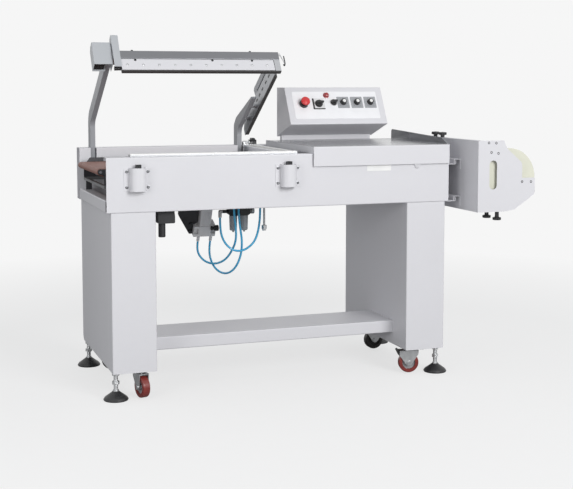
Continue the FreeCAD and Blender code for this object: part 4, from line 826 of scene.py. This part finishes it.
def blank_label():
    """Bare self-adhesive plate below the table's skirt."""
    plate = block((1017, -1.2, 836), (1120, 0, 864))
    pick_faces(plate, facing(FRONT))
    inset(1.6, -0.4)
    complete(plate, "blank_label", on_machine, "white_cap", "machine", 0.4)


def skirt_tab():
    """Pointed tab that ties the skirt to the front panel."""
    tab = block((1220, -6, 858), (1248, 0, 872))
    pick_faces(tab, facing(DOWN))
    pull(DOWN, 16)
    resize((0.42, 0.6, 1), (1234, 0, 842))
    complete(tab, "skirt_tab", on_machine, "body_paint", "machine", 0.8)


# ---------------------------------------------------------------- controls
# millimetres out of the slope, counted from the places of the knobs' joints
DIAL_END = 13.4
PLATE_FACE = -2.5
PANEL_FACE = -4.0
face_out = Vector(joints["dial_1_turn"]["axis"])


def on_face(joint, lift):
    """A place over a joint of the control face, looking out of the face."""
    return stand(Vector(joints[joint]["pos_m"]) / MM + face_out * lift, face_out)


def dial_caps():
    """White cap let into the end of each dial."""
    for number in (1, 2, 3):
        cap = turned([(7.4, 0), (7.4, 1.2), (6.8, 1.9), (5.2, 1.9), (4.6, 1.2), (1.5, 1.5)], 32)
        complete(cap, f"dial_cap_{number}", on_face(f"dial_{number}_turn", DIAL_END), "white_cap",
                 f"dial_{number}", 0.2)


def dial_scales():
    """Raised marks round each dial: eleven on three quarters of a circle, every fifth one longer."""
    for number in (1, 2, 3):
        marks = []
        for step in range(11):
            reach = 22 if step % 5 == 0 else 20
            mark = block((-0.6, 17.5, 0), (0.6, reach, 0.25))
            pick_faces(mark, facing(UP))
            resize((0.6, 0.9, 1), (0, 19.5, 0.25))
            let_go()
            mark.rotation_euler.z = math.radians(135 - step * 27)
            marks.append(mark)
        for mark in marks:
            mark.select_set(True)
        settle()
        bpy.ops.object.join()
        scale = bpy.context.object
        complete(scale, f"dial_scale_{number}", on_face(f"dial_{number}_turn", PLATE_FACE), "black_plastic",
                 "machine", 0.05)


def selector_bezel():
    """Pale ring between the selector and the panel."""
    ring = turned([(17, 0), (17, 1.2), (16.2, 2.2), (14.8, 2.2), (14.4, 1.8), (14.4, 0.15)], 40)
    complete(ring, "selector_bezel", on_face("selector_turn", PANEL_FACE), "blank_label",
             "machine", 0.2)


def cable_gland():
    """Gland in the back of the control box."""
    low, high = edges("control_box")
    gland = turned([(13, 0), (13, 6), (10, 6), (10, 10), (12, 10), (12, 17), (8, 21), (5, 21), (5, 15)], 24)
    place = ((high.x + low.x) / 2, high.y, low.z * 0.62 + high.z * 0.38)
    complete(gland, "cable_gland", on_machine @ stand(place, BACK), "black_plastic",
             "machine", 0.4)


# ---------------------------------------------------------------- air lines
TUBE_WIDTH = 9 * MM


def air_line(name, node, points):
    """A line from fitting to fitting, along the same route as its solid."""
    data = bpy.data.curves.new(name, "CURVE")
    data.dimensions = "3D"
    data.bevel_depth = TUBE_WIDTH / 2
    data.bevel_resolution = 5
    data.resolution_u = 8
    data.use_fill_caps = True
    spline = data.splines.new("NURBS")
    spline.points.add(len(points) - 1)
    for control, place in zip(spline.points, points):
        control.co = (*place, 1.0)
    spline.order_u = 3
    spline.use_endpoint_u = True
    line = bpy.data.objects.new(name, data)
    line.data.materials.append(finishes["air_line"])
    link(line)
    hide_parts(node)
    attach(line, "machine")


def run_air_lines():
    """Each line leaves its fitting straight, hangs below it and comes up into a port of the valve."""
    lean = Vector((0, math.sin(math.radians(25.5)), -math.cos(math.radians(25.5))))
    supply = Vector((534, 410, 627))
    cylinder_left, cylinder_right = Vector((489, 597.39, 508.55)), Vector((544, 597.39, 508.55))
    port_left, port_middle, port_right = (Vector((x, 370, 697)) for x in (582, 602, 696))

    def route(start, first, end, last):
        """Control points: some counted from the start, the others from the end."""
        near = [start] + [start + Vector(step) for step in first]
        far = [end + Vector(step) for step in last] + [end]
        return [spot(*place) for place in near + far]

    air_line("air_line_supply", "air_tube_supply", route(
        supply, [(0, 0, -42), (8, 1, -84), (29, 0, -120), (62, -5, -143), (100, -13, -141),
                 (134, -22, -115)],
        port_right, [(-12, 9, -152), (-3, 2, -101), (0, 0, -49)]))
    air_line("air_line_left", "air_tube_left", route(
        cylinder_left, [lean * 38, (9, 14, -68), (33, -8, -94), (64, -48, -98), (94, -94, -76),
                        (111, -140, -30)],
        port_left, [(18, 28, -167), (8, 0, -107), (0, 0, -52)]))
    air_line("air_line_right", "air_tube_right", route(
        cylinder_right, [lean * 42, (4, 20, -80), (16, -3, -119), (36, -41, -139), (58, -85, -135),
                         (78, -129, -101), (88, -167, -43)],
        port_middle, [(22, 22, -169), (4, -6, -105), (0, 0, -52)]))


# ---------------------------------------------------------------- the floor
def lay_floor():
    """A wide plane half a millimetre under the feet; it belongs to the stage."""
    bpy.ops.mesh.primitive_plane_add(size=60.0, location=(0, 0, -0.5 * MM))
    floor = bpy.context.object
    floor.name = "floor"
    floor.data.materials.append(floor_finish("sweep"))


dress_nodes()

cover_screws()
cradle_screws()
plate_rivets()
bar_bolts()
slot_plugs()
shading_terminal_block()
heater_lead_gland()
latch_strip()
wire_hook()
arm_switch()
motor_bracket()
flow_control()
blank_label()
skirt_tab()
dial_caps()
dial_scales()
selector_bezel()
cable_gland()
run_air_lines()

aim_camera()
light_world()
machine_middle = Vector((0, 0, 0.7))
hang_lamp("key", Vector((1.46, -5.45, 2.75)), machine_middle, 2.6, 190.0)
hang_lamp("fill", Vector((-2.7, -2.0, 1.1)), machine_middle, 1.2, 16.0)
lay_floor()
bpy.context.scene.view_settings.view_transform = "Standard"
